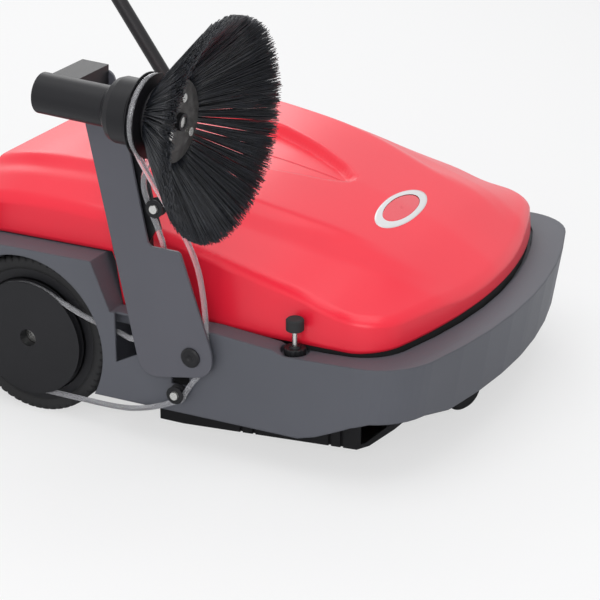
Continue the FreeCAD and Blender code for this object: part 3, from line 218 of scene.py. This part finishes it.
finishLooks = {
    "hoodRed": {"colour": (0.90, 0.016, 0.042), "rough": 0.36, "vary": 0.03, "grainScale": 260,
                "bump": 0.05, "coat": 0.22, "coatRough": 0.2, "cloudScale": 4,
                "roughVary": 0.04, "specular": 0.4},
    "chassisGrey": {"colour": (0.085, 0.089, 0.106), "rough": 0.52, "vary": 0.05,
                    "grainScale": 1400, "bump": 0.35, "bumpDepth": 0.0003, "soften": 0.004,
                    "cloudScale": 6},
    "armGrey": {"colour": (0.087, 0.088, 0.106), "rough": 0.46, "vary": 0.04,
                "grainScale": 700, "bump": 0.18, "bumpDepth": 0.0003, "soften": 0.0015,
                "cloudScale": 7},
    "hopperBlack": {"colour": (0.008, 0.008, 0.0095), "rough": 0.55, "vary": 0.10,
                    "grainScale": 1100, "bump": 0.3, "soften": 0.003, "specular": 0.22},
    "partBlack": {"colour": (0.012, 0.012, 0.014), "rough": 0.42, "vary": 0.10,
                  "grainScale": 1300, "bump": 0.2, "soften": 0.0006, "specular": 0.25},
    "steelBlack": {"colour": (0.013, 0.013, 0.015), "rough": 0.4, "vary": 0.08,
                   "grainScale": 900, "bump": 0.15, "soften": 0.0008, "specular": 0.3},
    "tyreRubber": {"colour": (0.020, 0.020, 0.021), "rough": 0.72, "vary": 0.12,
                   "grainScale": 1000, "bump": 0.35, "soften": 0.0012, "specular": 0.35},
    "sealRubber": {"colour": (0.012, 0.012, 0.013), "rough": 0.75, "vary": 0.10,
                   "grainScale": 900, "bump": 0.3, "specular": 0.3},
    "foamGrip": {"colour": (0.028, 0.028, 0.030), "rough": 0.85, "vary": 0.15,
                 "grainScale": 650, "grainDetail": 4, "bump": 0.8, "bumpDepth": 0.0012,
                 "sheen": 0.2, "specular": 0.25},
    "bristleBlack": {"colour": (0.012, 0.014, 0.020), "rough": 0.32, "vary": 0.6,
                     "cloudScale": 160, "grainScale": 500, "bump": 0.1, "specular": 0.55},
    "broomBlack": {"colour": (0.018, 0.019, 0.022), "rough": 0.45, "vary": 0.35,
                   "cloudScale": 120, "grainScale": 500, "bump": 0.1},
    "platedZinc": {"colour": (0.62, 0.62, 0.60), "rough": 0.28, "vary": 0.05, "metal": 1,
                   "grainScale": 500, "bump": 0.12, "soften": 0.0006},
    "turnedBrass": {"colour": (0.62, 0.47, 0.22), "rough": 0.30, "vary": 0.05, "metal": 1,
                    "grainScale": 500, "bump": 0.1},
    "hubPlate": {"colour": (0.085, 0.082, 0.080), "rough": 0.42, "vary": 0.35, "metal": 0.6,
                 "cloudScale": 90, "grainScale": 420, "grainDetail": 6, "bump": 0.5,
                 "bumpDepth": 0.0008, "roughVary": 0.16, "soften": 0.001},
    "beltClear": {"colour": (0.80, 0.80, 0.83), "rough": 0.16, "vary": 0.03, "through": 0.82,
                  "ior": 1.45, "grainScale": 300, "bump": 0.04, "roughVary": 0.03},
    "badgeSilver": {"colour": (0.72, 0.72, 0.72), "rough": 0.32, "vary": 0.03, "coat": 0.4,
                    "grainScale": 900, "bump": 0.04},
    "badgeRed": {"colour": (0.80, 0.030, 0.055), "rough": 0.25, "vary": 0.02, "coat": 0.5,
                 "grainScale": 900, "bump": 0.03},
}
finishes = {name: makeFinish(name, look) for name, look in finishLooks.items()}

nodeFinish = {
    "chassisGrey": ["chassis_frame"],
    "armGrey": ["arm_cover"],
    "hopperBlack": ["hopper_tub"],
    "partBlack": ["brush_head", "brush_disc", "brush_pulley", "drive_pulley", "wheel_gear",
                  "broom_pinion", "right_wheel_rim", "left_wheel_rim", "upper_roller",
                  "lower_roller", "lock_nut", "pivot_cap", "right_handle_knob",
                  "left_handle_knob", "broom_core", "castor_wheel"],
    "steelBlack": ["arm_frame", "castor_plate", "castor_fork", "handle_tube",
                   "handle_brackets", "hood_brackets", "hood_lugs", "spindle_nut"],
    "tyreRubber": ["bumper_rubber"],
    "sealRubber": ["hood_seal", "rear_dust_flap"],
    "foamGrip": ["handle_grips"],
    "platedZinc": ["flap_strip", "wheel_axles", "axle_clips", "hopper_handle",
                   "hopper_pivots", "arm_pivot_bolt", "lower_roller_bolt",
                   "upper_roller_bolt", "brush_shaft", "hub_bolts",
                   "bumper_stud", "castor_axle", "handle_bolts", "hinge_pins"],
    "turnedBrass": ["arm_bush", "broom_bearings", "bumper_insert"],
    "hubPlate": ["hub_plate"],
}
for finish, names in nodeFinish.items():
    for name in names:
        slots = frame["nodes"][name].data.materials
        slots.clear()
        slots.append(finishes[finish])
print("finishes made:", len(finishes))


def dress(piece, finish, body, slot, *nodes):
    piece.data.materials.append(finishes[finish])
    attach(piece, body)
    if nodes:
        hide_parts(*nodes)
    return piece


hood = {
    "rear": -370, "start": 281, "half": 308, "corner": 70, "steepness": 70, "lean": 0.1,
    "low": 190.5, "noseLow": 201, "fenderTop": 274, "fenderX": -82, "wall": 4,
    "rimRound": 15, "columns": 384, "rimRings": 11, "wallRings": 9, "topRings": 104,
    "crownDrop": 3, "bandRun": 17, "sideKnot": 298, "edgeKnot": 337, "edgeDrop": 17,
}
# hollow for the hand: half width and depth along the machine, front end, wall run at the sides
# and at the front
handRecess = {
    "widthAt": [-376, -330, -200, -110, -20, 56, 118, 146, 152],
    "halfWidth": [30, 60, 84, 98, 95, 66, 34, 9, 0],
    "depthAt": [-376, -215, -110, -20, 56, 118, 150], "depth": [0, 0, 14, 16, 15, 12, 10],
    "front": 152, "sideRun": 9, "frontRun": 12,
}
# place along the machine, crown height, half width of the raised centre, drop beside it,
# crease, height of the rim
hoodSections = [
    (-375, 352, 200, 10, 245, 312), (-330, 366, 204, 12, 246, 322), (-200, 376, 205, 12, 246, 330),
    (-110, 374, 202, 12, 243, 325), (-20, 365, 194, 12, 239, 311), (56, 353, 187, 12, 236, 295),
    (118, 338, 179, 10, 231, 281), (150, 329, 171, 8, 225, 274), (206, 312, 157, 6, 215, 262),
    (250, 297, 150, 2, 207, 248), (303, 276, 140, 0.5, 195, 240), (345, 252, 120, 0.4, 180, 231),
    (400, 219, 100, 0.3, 160, 214),
]


def hoodHeights():
    # height map over x and |y|: straight runs between the section's bend points, rounded by
    # a blur, less the funnel-shaped hand recess with a soft wall
    xs = np.arange(-376.0, 401.0, 3.0)
    ys = np.arange(0.0, 337.0, 1.5)
    crown, centre, drop, crease, rim = profileAt(hoodSections, xs).T
    fall, band, side = hood["crownDrop"], hood["bandRun"], hood["sideKnot"]
    low = crown - fall - drop
    bend = low + (rim - low) * (crease - centre - band) / (side - centre - band) + 3
    knotY = np.stack([0 * xs, centre, centre + band, crease, 0 * xs + side,
                      0 * xs + hood["edgeKnot"]], 1)
    knotZ = np.stack([crown, crown - fall, low, bend, rim, rim - hood["edgeDrop"]], 1)
    k = np.clip((ys[None, :, None] >= knotY[:, None, :]).sum(2) - 1, 0, 4)
    rows = np.arange(len(xs))[:, None]
    t = (ys[None] - knotY[rows, k]) / (knotY[rows, k + 1] - knotY[rows, k])
    heights = knotZ[rows, k] + t * (knotZ[rows, k + 1] - knotZ[rows, k])
    mirrored = np.concatenate([heights[:, :0:-1], heights], axis=1)
    mirrored = blur(blur(mirrored, 3.2, 1), 2.0, 0)
    heights = mirrored[:, len(ys) - 1:]
    width = np.interp(xs, handRecess["widthAt"], handRecess["halfWidth"])
    depth = np.interp(xs, handRecess["depthAt"], handRecess["depth"])
    inside = ease((width[:, None] - ys[None]) / handRecess["sideRun"] + 0.35)
    inside *= ease((handRecess["front"] - xs)[:, None] / handRecess["frontRun"])
    return xs, ys, heights - blur(inside * depth[:, None], 1.4, 1)


mapX, mapY, heightMap = hoodHeights()


def hoodHeight(x, y):
    # bilinear reading of the height map
    i = np.clip((x - mapX[0]) / (mapX[1] - mapX[0]), 0, len(mapX) - 1.001)
    j = np.clip(np.abs(y) / (mapY[1] - mapY[0]), 0, len(mapY) - 1.001)
    a, b = i.astype(int), j.astype(int)
    u, v = i - a, j - b
    return ((1 - u) * (1 - v) * heightMap[a, b] + u * (1 - v) * heightMap[a + 1, b]
            + (1 - u) * v * heightMap[a, b + 1] + u * v * heightMap[a + 1, b + 1])


def hoodPlan(count):
    # closed outline seen from above: straight sides, tight corner arcs and one long nose arc,
    # read at even distances along it
    steep = math.radians(hood["steepness"])
    tight = np.linspace(0, steep, 24)
    corner, half = hood["corner"], hood["half"]
    wide = (half - corner * (1 - math.cos(steep))) / math.cos(steep)
    long = np.linspace(steep, np.pi / 2, 40)[1:]
    x = np.concatenate([[hood["rear"], hood["rear"]], [hood["rear"] + 8],
                        hood["start"] + corner * np.sin(tight),
                        hood["start"] + corner * math.sin(steep)
                        + wide * (np.sin(long) - math.sin(steep))])
    y = np.concatenate([[0, -half + 8], [-half], -half + corner * (1 - np.cos(tight)),
                        -wide * np.cos(long)])
    x = np.concatenate([x, x[-2:0:-1]])
    y = np.concatenate([y, -y[-2:0:-1]])
    loop = np.stack([np.append(x, x[0]), np.append(y, y[0])], 1)
    run = np.concatenate([[0], np.cumsum(np.linalg.norm(np.diff(loop, axis=0), axis=1))])
    at = np.linspace(0, run[-1], count, endpoint=False)
    return np.stack([np.interp(at, run, loop[:, 0]), np.interp(at, run, loop[:, 1])], 1)


def buildHood():
    # rings: down the wall at the outline, round the rim on a quarter circle, then in along
    # straight lines to a spine under the ridge, where the height map gives z
    outline = hoodPlan(hood["columns"])
    x, y = outline.T
    spine = np.stack([np.clip(x, hood["rear"] + 150, hood["start"] - 130), 0 * x], 1)
    inward = spine - outline
    reach = np.linalg.norm(inward, axis=1)
    inward /= reach[:, None]
    low = np.where(x > 290, hood["low"] + (x - 290) * (hood["noseLow"] - hood["low"]) / 120,
                   hood["low"])
    overFender = ease((hood["fenderX"] + 5 - x) / 24)
    low = low + overFender * (hood["fenderTop"] - low)
    radius = hood["rimRound"]
    rings = []
    lean = hood["lean"]
    edge = np.minimum(hoodHeight(*(outline + inward * radius).T), hoodHeight(x, y) + 6) - radius
    for t in np.linspace(0, 1, hood["wallRings"]):
        z = low + (edge - low) * t
        inset = lean * (z - hood["low"])
        rings.append(np.column_stack([outline + inward * inset[:, None], z]))
    edgeInset = lean * (edge - hood["low"])
    for angle in np.linspace(0, np.pi / 2, hood["rimRings"])[1:]:
        inset = edgeInset + radius * (1 - math.cos(angle))
        flat = outline + inward * inset[:, None]
        full = outline + inward * (edgeInset + radius)[:, None]
        crest = hoodHeight(*flat.T) * (1 - math.cos(angle)) + \
            np.minimum(hoodHeight(*full.T), hoodHeight(*flat.T)) * math.cos(angle)
        z = edge + (crest - edge) * math.sin(angle)
        rings.append(np.column_stack([flat, z]))
    startInset = edgeInset + radius
    for t in np.linspace(0, 1, hood["topRings"])[1:]:
        flat = outline + inward * (startInset + (reach - startInset) * t)[:, None]
        rings.append(np.column_stack([flat, hoodHeight(*flat.T)]))
    points = np.array(rings)
    rows, across = points.shape[:2]
    return buildMesh("hoodSkin", place(points.reshape(-1, 3)),
                     [gridFaces(rows, across, closeAcross=True)])


hoodSkin = buildHood()
thickness = hoodSkin.modifiers.new("moulding", "SOLIDIFY")
thickness.thickness = hood["wall"] / 1000
thickness.offset = -1
dress(hoodSkin, "hoodRed", "hood", "hood_red", "hood_shell")
print("hood skin:", len(hoodSkin.data.polygons), "faces")

badge = {"x": 236, "y": -16, "long": 82, "wide": 25, "border": 0.73, "raise": 1.5,
         "around": 96}


def buildBadge(name, inner, outer, rise, rings):
    # oval disc that follows the hood: x and y on an ellipse scaled by the ring's radius,
    # z the hood's height plus a rise that rolls off at the outer edge
    turn = np.linspace(0, 2 * np.pi, badge["around"], endpoint=False)
    scale = np.linspace(inner, outer, rings)
    flat = np.stack([badge["x"] + badge["wide"] * scale[:, None] * np.cos(turn),
                     badge["y"] + badge["long"] * scale[:, None] * np.sin(turn)], -1)
    z = hoodHeight(flat[..., 0], flat[..., 1]) + rise
    z[-1] -= rise * 0.5
    skirt = np.concatenate([flat[-1], (z[-1] - rise * 0.5 - 0.2)[:, None]], 1)
    points = np.concatenate([np.concatenate([flat, z[..., None]], -1), skirt[None]])
    faces = [gridFaces(len(points), badge["around"], closeAcross=True)]
    return buildMesh(name, place(points.reshape(-1, 3)), faces)


badgeBorder = buildBadge("badgeBorder", badge["border"] - 0.02, 1.0, badge["raise"], 5)
badgeField = buildBadge("badgeField", 0.02, badge["border"], badge["raise"] - 0.5, 14)
dress(badgeBorder, "badgeSilver", "hood", "badge", "badge_plate")
dress(badgeField, "badgeRed", "hood", "badge")
print("badge made")


brush = {"centre": (65, -462, 552), "pitch": 3, "rootRadius": 46, "tipRadius": 151,
         "rootLow": 15, "rootHigh": 32, "tipLow": 101, "tipHigh": 117, "tufts": 48,
         "strandsInTuft": 118, "thick": 0.72, "sides": 3, "seed": 4}


def buildBrush():
    # a strand runs from the root ring to the tip ring at its own angle; radius and height
    # grow with t, and a bow that peaks in the middle swells it forward
    dice = np.random.default_rng(brush["seed"])
    count = brush["tufts"] * brush["strandsInTuft"]
    tuft = np.repeat(np.arange(brush["tufts"]), brush["strandsInTuft"])
    step = 2 * np.pi / brush["tufts"]
    spot = dice.uniform(-0.5, 0.5, count)
    rootTurn = (tuft + spot * 0.62) * step
    tipTurn = (tuft + spot * 0.92) * step + dice.normal(0, 0.010, count)
    layer = dice.uniform(0, 1, count)
    t = np.linspace(0, 1, 5)[None]
    tipRadius = brush["tipRadius"] - np.abs(dice.normal(0, 2.6, count)) - 2 * (1 - layer)
    rootHeight = brush["rootLow"] + (brush["rootHigh"] - brush["rootLow"]) * layer
    tipHeight = brush["tipLow"] + (brush["tipHigh"] - brush["tipLow"]) * layer \
        + dice.normal(0, 1.5, count)
    radius = brush["rootRadius"] + (tipRadius - brush["rootRadius"])[:, None] * t
    radius = radius - dice.uniform(-1, 5, count)[:, None] * np.sin(np.pi * t)
    height = rootHeight[:, None] + (tipHeight - rootHeight)[:, None] * t**1.08
    turn = rootTurn[:, None] + (tipTurn - rootTurn)[:, None] * t
    pitch = math.radians(brush["pitch"])
    out = np.array([math.cos(pitch), 0, -math.sin(pitch)])
    up = np.array([math.sin(pitch), 0, math.cos(pitch)])
    left = np.array([0.0, 1.0, 0.0])
    lines = (np.array(brush["centre"]) + out * height[..., None]
             + left * (radius * np.cos(turn))[..., None]
             + up * (radius * np.sin(turn))[..., None])
    radii = brush["thick"] * (1 - 0.35 * t) * dice.uniform(0.8, 1.15, count)[:, None]
    return strandSet("sideBrushBristles", lines, radii, brush["sides"])


sideBrush = buildBrush()
dress(sideBrush, "bristleBlack", "side_brush", "bristle", "side_bristles")
print("side brush bristles:", len(sideBrush.data.polygons), "faces")


broomPose = joints["broom_spin"]["pos_m"]
broom = {"x": (broomPose[0] - datumShift[0]) * 1000, "z": broomPose[2] * 1000, "half": 250,
         "root": 42, "tip": 111, "rows": 10, "tuftsInRow": 56, "strandsInTuft": 5, "seed": 7}


def buildBroom():
    # straight strands in rows: angle from the row, place along the shaft from the tuft
    dice = np.random.default_rng(broom["seed"])
    count = broom["rows"] * broom["tuftsInRow"] * broom["strandsInTuft"]
    row = np.arange(count) // (broom["tuftsInRow"] * broom["strandsInTuft"])
    tuft = (np.arange(count) // broom["strandsInTuft"]) % broom["tuftsInRow"]
    turn = row * 2 * np.pi / broom["rows"] + dice.uniform(-0.045, 0.045, count)
    y = -broom["half"] + (tuft + 0.5) * 2 * broom["half"] / broom["tuftsInRow"]
    t = np.linspace(0, 1, 3)[None]
    radius = broom["root"] + (broom["tip"] - dice.uniform(0, 2.5, count)
                              - broom["root"])[:, None] * t
    spread = dice.uniform(-3.4, 3.4, count)[:, None] * (0.35 + 0.65 * t)
    lines = np.stack([broom["x"] + radius * np.cos(turn)[:, None],
                      np.clip(y[:, None] + spread, -broom["half"], broom["half"]),
                      broom["z"] + radius * np.sin(turn)[:, None]], -1)
    radii = np.broadcast_to(1.0 - 0.3 * t, (count, 3))
    return strandSet("broomStrands", lines, radii)


broomStrands = buildBroom()
dress(broomStrands, "broomBlack", "broom", "bristle", "broom_bristles")
print("broom bristles:", len(broomStrands.data.polygons), "faces")


belt = {"radius": 4.2, "wheel": (-232, -331.5, 125, 85), "brushPulley": 52,
        "lowRoller": (33, -355, 95), "topRoller": (9, -357, 379), "groove": 6.5,
        "bendPoints": 9, "sides": 14}
beltRise = [(61.6, -474, 481), (67, -427, 413.5), (74, -387, 352), (77, -362, 300),
            (78.5, -353, 258), (80.5, -350.8, 222), (81.5, -350.8, 180), (79, -350.8, 152),
            (69, -351, 131), (54, -354, 112)]
beltReturn = [(-6, -351.5, 64), (-38, -350, 54), (-64, -341, 45.5), (-98, -333, 39.5)]
beltBack = [(-134, -332, 176), (-86, -333.5, 165), (-71, -335, 163.5), (-43, -350.6, 165),
            (-24, -350.8, 169), (2, -350.8, 186), (15, -350.8, 228), (17.5, -350.8, 282),
            (16.5, -351, 318), (12, -355.8, 343)]
beltTop = [(-12, -358.5, 412), (5, -367, 452), (44, -384, 498), (64.2, -401, 538)]


def wrapCorners(centre, radius, before, after, count, across, up):
    # corners of a polygon whose sides touch the circle, the outer two running to free points
    def touch(spot, sense):
        flat = np.array([(spot - centre) @ across, (spot - centre) @ up])
        return math.atan2(flat[1], flat[0]) + sense * math.acos(radius / np.hypot(*flat))
    start = touch(before, 1)
    half = ((touch(after, -1) - start) % (2 * math.pi)) / count / 2
    turn = start + half * (2 * np.arange(count) + 1)
    reach = radius / math.cos(half)
    return centre + reach * (np.outer(np.cos(turn), across) + np.outer(np.sin(turn), up))


def beltPath():
    # every corner becomes a circular arc, as a rational curve of degree two in t
    back, left, up = np.array([-1.0, 0, 0]), np.array([0, 1.0, 0]), np.array([0, 0, 1.0])
    pitch = math.radians(brush["pitch"])
    tilted = np.array([math.sin(pitch), 0, math.cos(pitch)])
    roll = belt["groove"] + belt["radius"] + 0.3
    runs = [np.array(run, float) for run in (beltTop, beltRise, beltReturn, beltBack)]
    wraps = [(brush["centre"], belt["brushPulley"], 6, left, tilted),
             (belt["lowRoller"], roll, 2, back, up),
             (belt["wheel"][:3], belt["wheel"][3], 6, back, up),
             (belt["topRoller"], roll, 2, back, up)]
    spots = []
    for run, following, (centre, radius, count, across, over) in zip(
            runs, runs[1:] + runs[:1], wraps):
        spots += [run, wrapCorners(np.array(centre, float), radius, run[-1], following[0],
                                   count, across, over)]
    corner = np.concatenate(spots)
    toBack, toAhead = np.roll(corner, 1, 0) - corner, np.roll(corner, -1, 0) - corner
    backLength = np.linalg.norm(toBack, axis=1, keepdims=True)
    aheadLength = np.linalg.norm(toAhead, axis=1, keepdims=True)
    reach = 0.48 * np.minimum(backLength, aheadLength)
    toBack, toAhead = toBack / backLength, toAhead / aheadLength
    opening = np.arccos(np.clip((toBack * toAhead).sum(1), -1, 1))
    weight = np.sin(opening / 2)[:, None, None]
    t = np.linspace(0, 1, belt["bendPoints"])[None, :, None]
    first, last = (corner + toBack * reach)[:, None], (corner + toAhead * reach)[:, None]
    top = (1 - t)**2 * first + 2 * (1 - t) * t * weight * corner[:, None] + t**2 * last
    return (top / ((1 - t)**2 + 2 * (1 - t) * t * weight + t**2)).reshape(-1, 3)


def buildBelt():
    # round tube: path + radius * (cos a * side + sin a * over), side kept square to the path
    path = beltPath()
    along = np.roll(path, -1, 0) - np.roll(path, 1, 0)
    along /= np.linalg.norm(along, axis=1, keepdims=True)
    lead = np.array([1.0, 1.0, 0.0]) / math.sqrt(2)
    side = lead - along * (along @ lead)[:, None]
    side /= np.linalg.norm(side, axis=1, keepdims=True)
    over = np.cross(along, side)
    turn = np.linspace(0, 2 * np.pi, belt["sides"], endpoint=False)
    points = path[:, None] + belt["radius"] * (side[:, None] * np.cos(turn)[None, :, None]
                                               + over[:, None] * np.sin(turn)[None, :, None])
    return buildMesh("beltLoop", place(points.reshape(-1, 3)),
                     [gridFaces(len(path), belt["sides"], True, True)])


beltLoop = buildBelt()
beltLoop.data.materials.append(finishes["beltClear"])
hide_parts("drive_belt")
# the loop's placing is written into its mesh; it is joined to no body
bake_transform(beltLoop)
print("belt made")


tyre = {"radius": 125, "blocks": 60, "tread": 3.0, "mid": 302,
        "x": -232, "around": 480}


def buildTyre(name, side):
    # lathe of a rounded section; on the running face the radius drops in slanted grooves
    # whose place shifts with the width, and in one groove round the middle
    section = np.array([(-20, 105), (-20.6, 110), (-21.6, 114), (-22, 118), (-21.4, 121),
                        (-20, 123.4), (-17.5, 124.8), (-14, 125), (-10, 125), (-6, 125),
                        (-2.4, 125), (-1.6, 125), (0, 125), (1.6, 125), (2.4, 125), (6, 125),
                        (10, 125), (14, 125), (17.5, 124.8), (20, 123.4), (21.4, 121),
                        (22, 118), (21.6, 114), (20.6, 110), (20, 105)])
    turn = np.linspace(0, 2 * np.pi, tyre["around"], endpoint=False)[:, None]
    across, radius = section[:, 0][None], section[:, 1][None]
    wave = np.cos(tyre["blocks"] * turn + np.abs(across) * 0.16)
    slot = ease((wave - 0.55) / 0.25) * (np.abs(across) > 4) * (radius > 120)
    middle = (np.abs(across) < 2) * 1.0
    drop = tyre["tread"] * np.maximum(slot, middle)
    r = radius - drop
    points = np.stack([tyre["x"] + r * np.cos(turn), side * tyre["mid"] + across + 0 * turn,
                       tyre["radius"] + r * np.sin(turn)], -1)
    faces = gridFaces(tyre["around"], len(section), closeAcross=True, closeRows=True)
    return buildMesh(name, place(points.reshape(-1, 3)), [faces[:, ::-1]])


for name, side, body, node in (("rightTyre", -1, "right_wheel", "right_tyre"),
                               ("leftTyre", 1, "left_wheel", "left_tyre")):
    dress(buildTyre(name, side), "tyreRubber", body, "rubber", node)
print("tyres made")


studio = {"floorSize": 14, "floorColour": (0.86, 0.86, 0.86), "skyLight": 0.55,
          "floorGlow": 0.62,
          "cameraSpot": (1339, -2626, 1352), "azimuth": 26, "elevation": 23, "lens": 120}


def makeFloor():
    half = studio["floorSize"] / 2
    x, y = np.meshgrid(np.linspace(-half, half, 3), np.linspace(-half, half, 3), indexing="ij")
    floor = buildMesh("studioFloor", np.stack([x, y, 0 * x - 0.0005], -1).reshape(-1, 3),
                      [gridFaces(3, 3)[:, ::-1]])
    material, nodes, links = newMaterial("paleFloor")
    shader = nodes["Principled BSDF"]
    shader.inputs["Base Color"].default_value = [*studio["floorColour"], 1]
    shader.inputs["Roughness"].default_value = 0.8
    glow = nodes.new("ShaderNodeEmission")
    glow.inputs["Strength"].default_value = 1.0
    rays = nodes.new("ShaderNodeLightPath")
    mix = nodes.new("ShaderNodeMixShader")
    share = nodes.new("ShaderNodeMath")
    share.operation = "MULTIPLY"
    share.inputs[1].default_value = studio["floorGlow"]
    links.new(rays.outputs["Is Camera Ray"], share.inputs[0])
    links.new(share.outputs[0], mix.inputs["Fac"])
    links.new(shader.outputs[0], mix.inputs[1])
    links.new(glow.outputs[0], mix.inputs[2])
    links.new(mix.outputs[0], nodes["Material Output"].inputs["Surface"])
    floor.data.materials.append(material)


def makeSky():
    world = bpy.data.worlds.new("studioSky")
    bpy.context.scene.world = world
    world.use_nodes = True
    nodes, links = world.node_tree.nodes, world.node_tree.links
    soft = nodes["Background"]
    soft.inputs["Color"].default_value = (0.96, 0.97, 1, 1)
    soft.inputs["Strength"].default_value = studio["skyLight"]
    seen = nodes.new("ShaderNodeBackground")
    seen.inputs["Color"].default_value = (1, 1, 1, 1)
    seen.inputs["Strength"].default_value = 1.0
    rays = nodes.new("ShaderNodeLightPath")
    either = nodes.new("ShaderNodeMath")
    either.operation = "MAXIMUM"
    mirror = nodes.new("ShaderNodeMath")
    mirror.operation = "MAXIMUM"
    links.new(rays.outputs["Is Camera Ray"], either.inputs[0])
    links.new(rays.outputs["Is Transmission Ray"], either.inputs[1])
    links.new(either.outputs[0], mirror.inputs[0])
    links.new(rays.outputs["Is Glossy Ray"], mirror.inputs[1])
    mix = nodes.new("ShaderNodeMixShader")
    links.new(mirror.outputs[0], mix.inputs["Fac"])
    links.new(soft.outputs[0], mix.inputs[1])
    links.new(seen.outputs[0], mix.inputs[2])
    links.new(mix.outputs[0], nodes["World Output"].inputs["Surface"])


def addLamp(name, spot, target, size, power):
    data = bpy.data.lights.new(name, "AREA")
    data.shape = "RECTANGLE"
    data.size, data.size_y = size
    data.energy = power
    lamp = bpy.data.objects.new(name, data)
    lamp.location = spot
    lamp.rotation_euler = (Vector(target) - Vector(spot)).to_track_quat("-Z", "Y").to_euler()
    bpy.context.scene.collection.objects.link(lamp)


makeFloor()
makeSky()
middle = (cadBox[0] + cadBox[1]) / 2
lamps = {
    "overheadLamp": ((0.3, -0.5, 3.2), (3.0, 2.6), 42),
    "sideLamp": ((1.2, -3.0, 1.6), (2.2, 1.6), 32),
    "backLamp": ((-1.6, 2.4, 2.0), (2.0, 1.6), 20),
}
for name, (spot, size, power) in lamps.items():
    addLamp(name, Vector(spot) + Vector((middle.x, middle.y, 0)), middle, size, power)

azimuth, elevation = math.radians(studio["azimuth"]), math.radians(studio["elevation"])
toCamera = Vector((math.sin(azimuth) * math.cos(elevation),
                   -math.cos(azimuth) * math.cos(elevation), math.sin(elevation)))
right = Vector((math.cos(azimuth), math.sin(azimuth), 0))
cameraData = bpy.data.cameras.new("studioCamera")
cameraData.lens = studio["lens"]
cameraData.clip_end = 60
camera = bpy.data.objects.new("studioCamera", cameraData)
axes = Matrix((right, toCamera.cross(right), toCamera)).transposed().to_4x4()
camera.matrix_world = Matrix.Translation(Vector(place(studio["cameraSpot"]))) @ axes
bpy.context.scene.collection.objects.link(camera)
bpy.context.scene.camera = camera
bpy.context.scene.view_settings.view_transform = "Standard"
print("studio made")
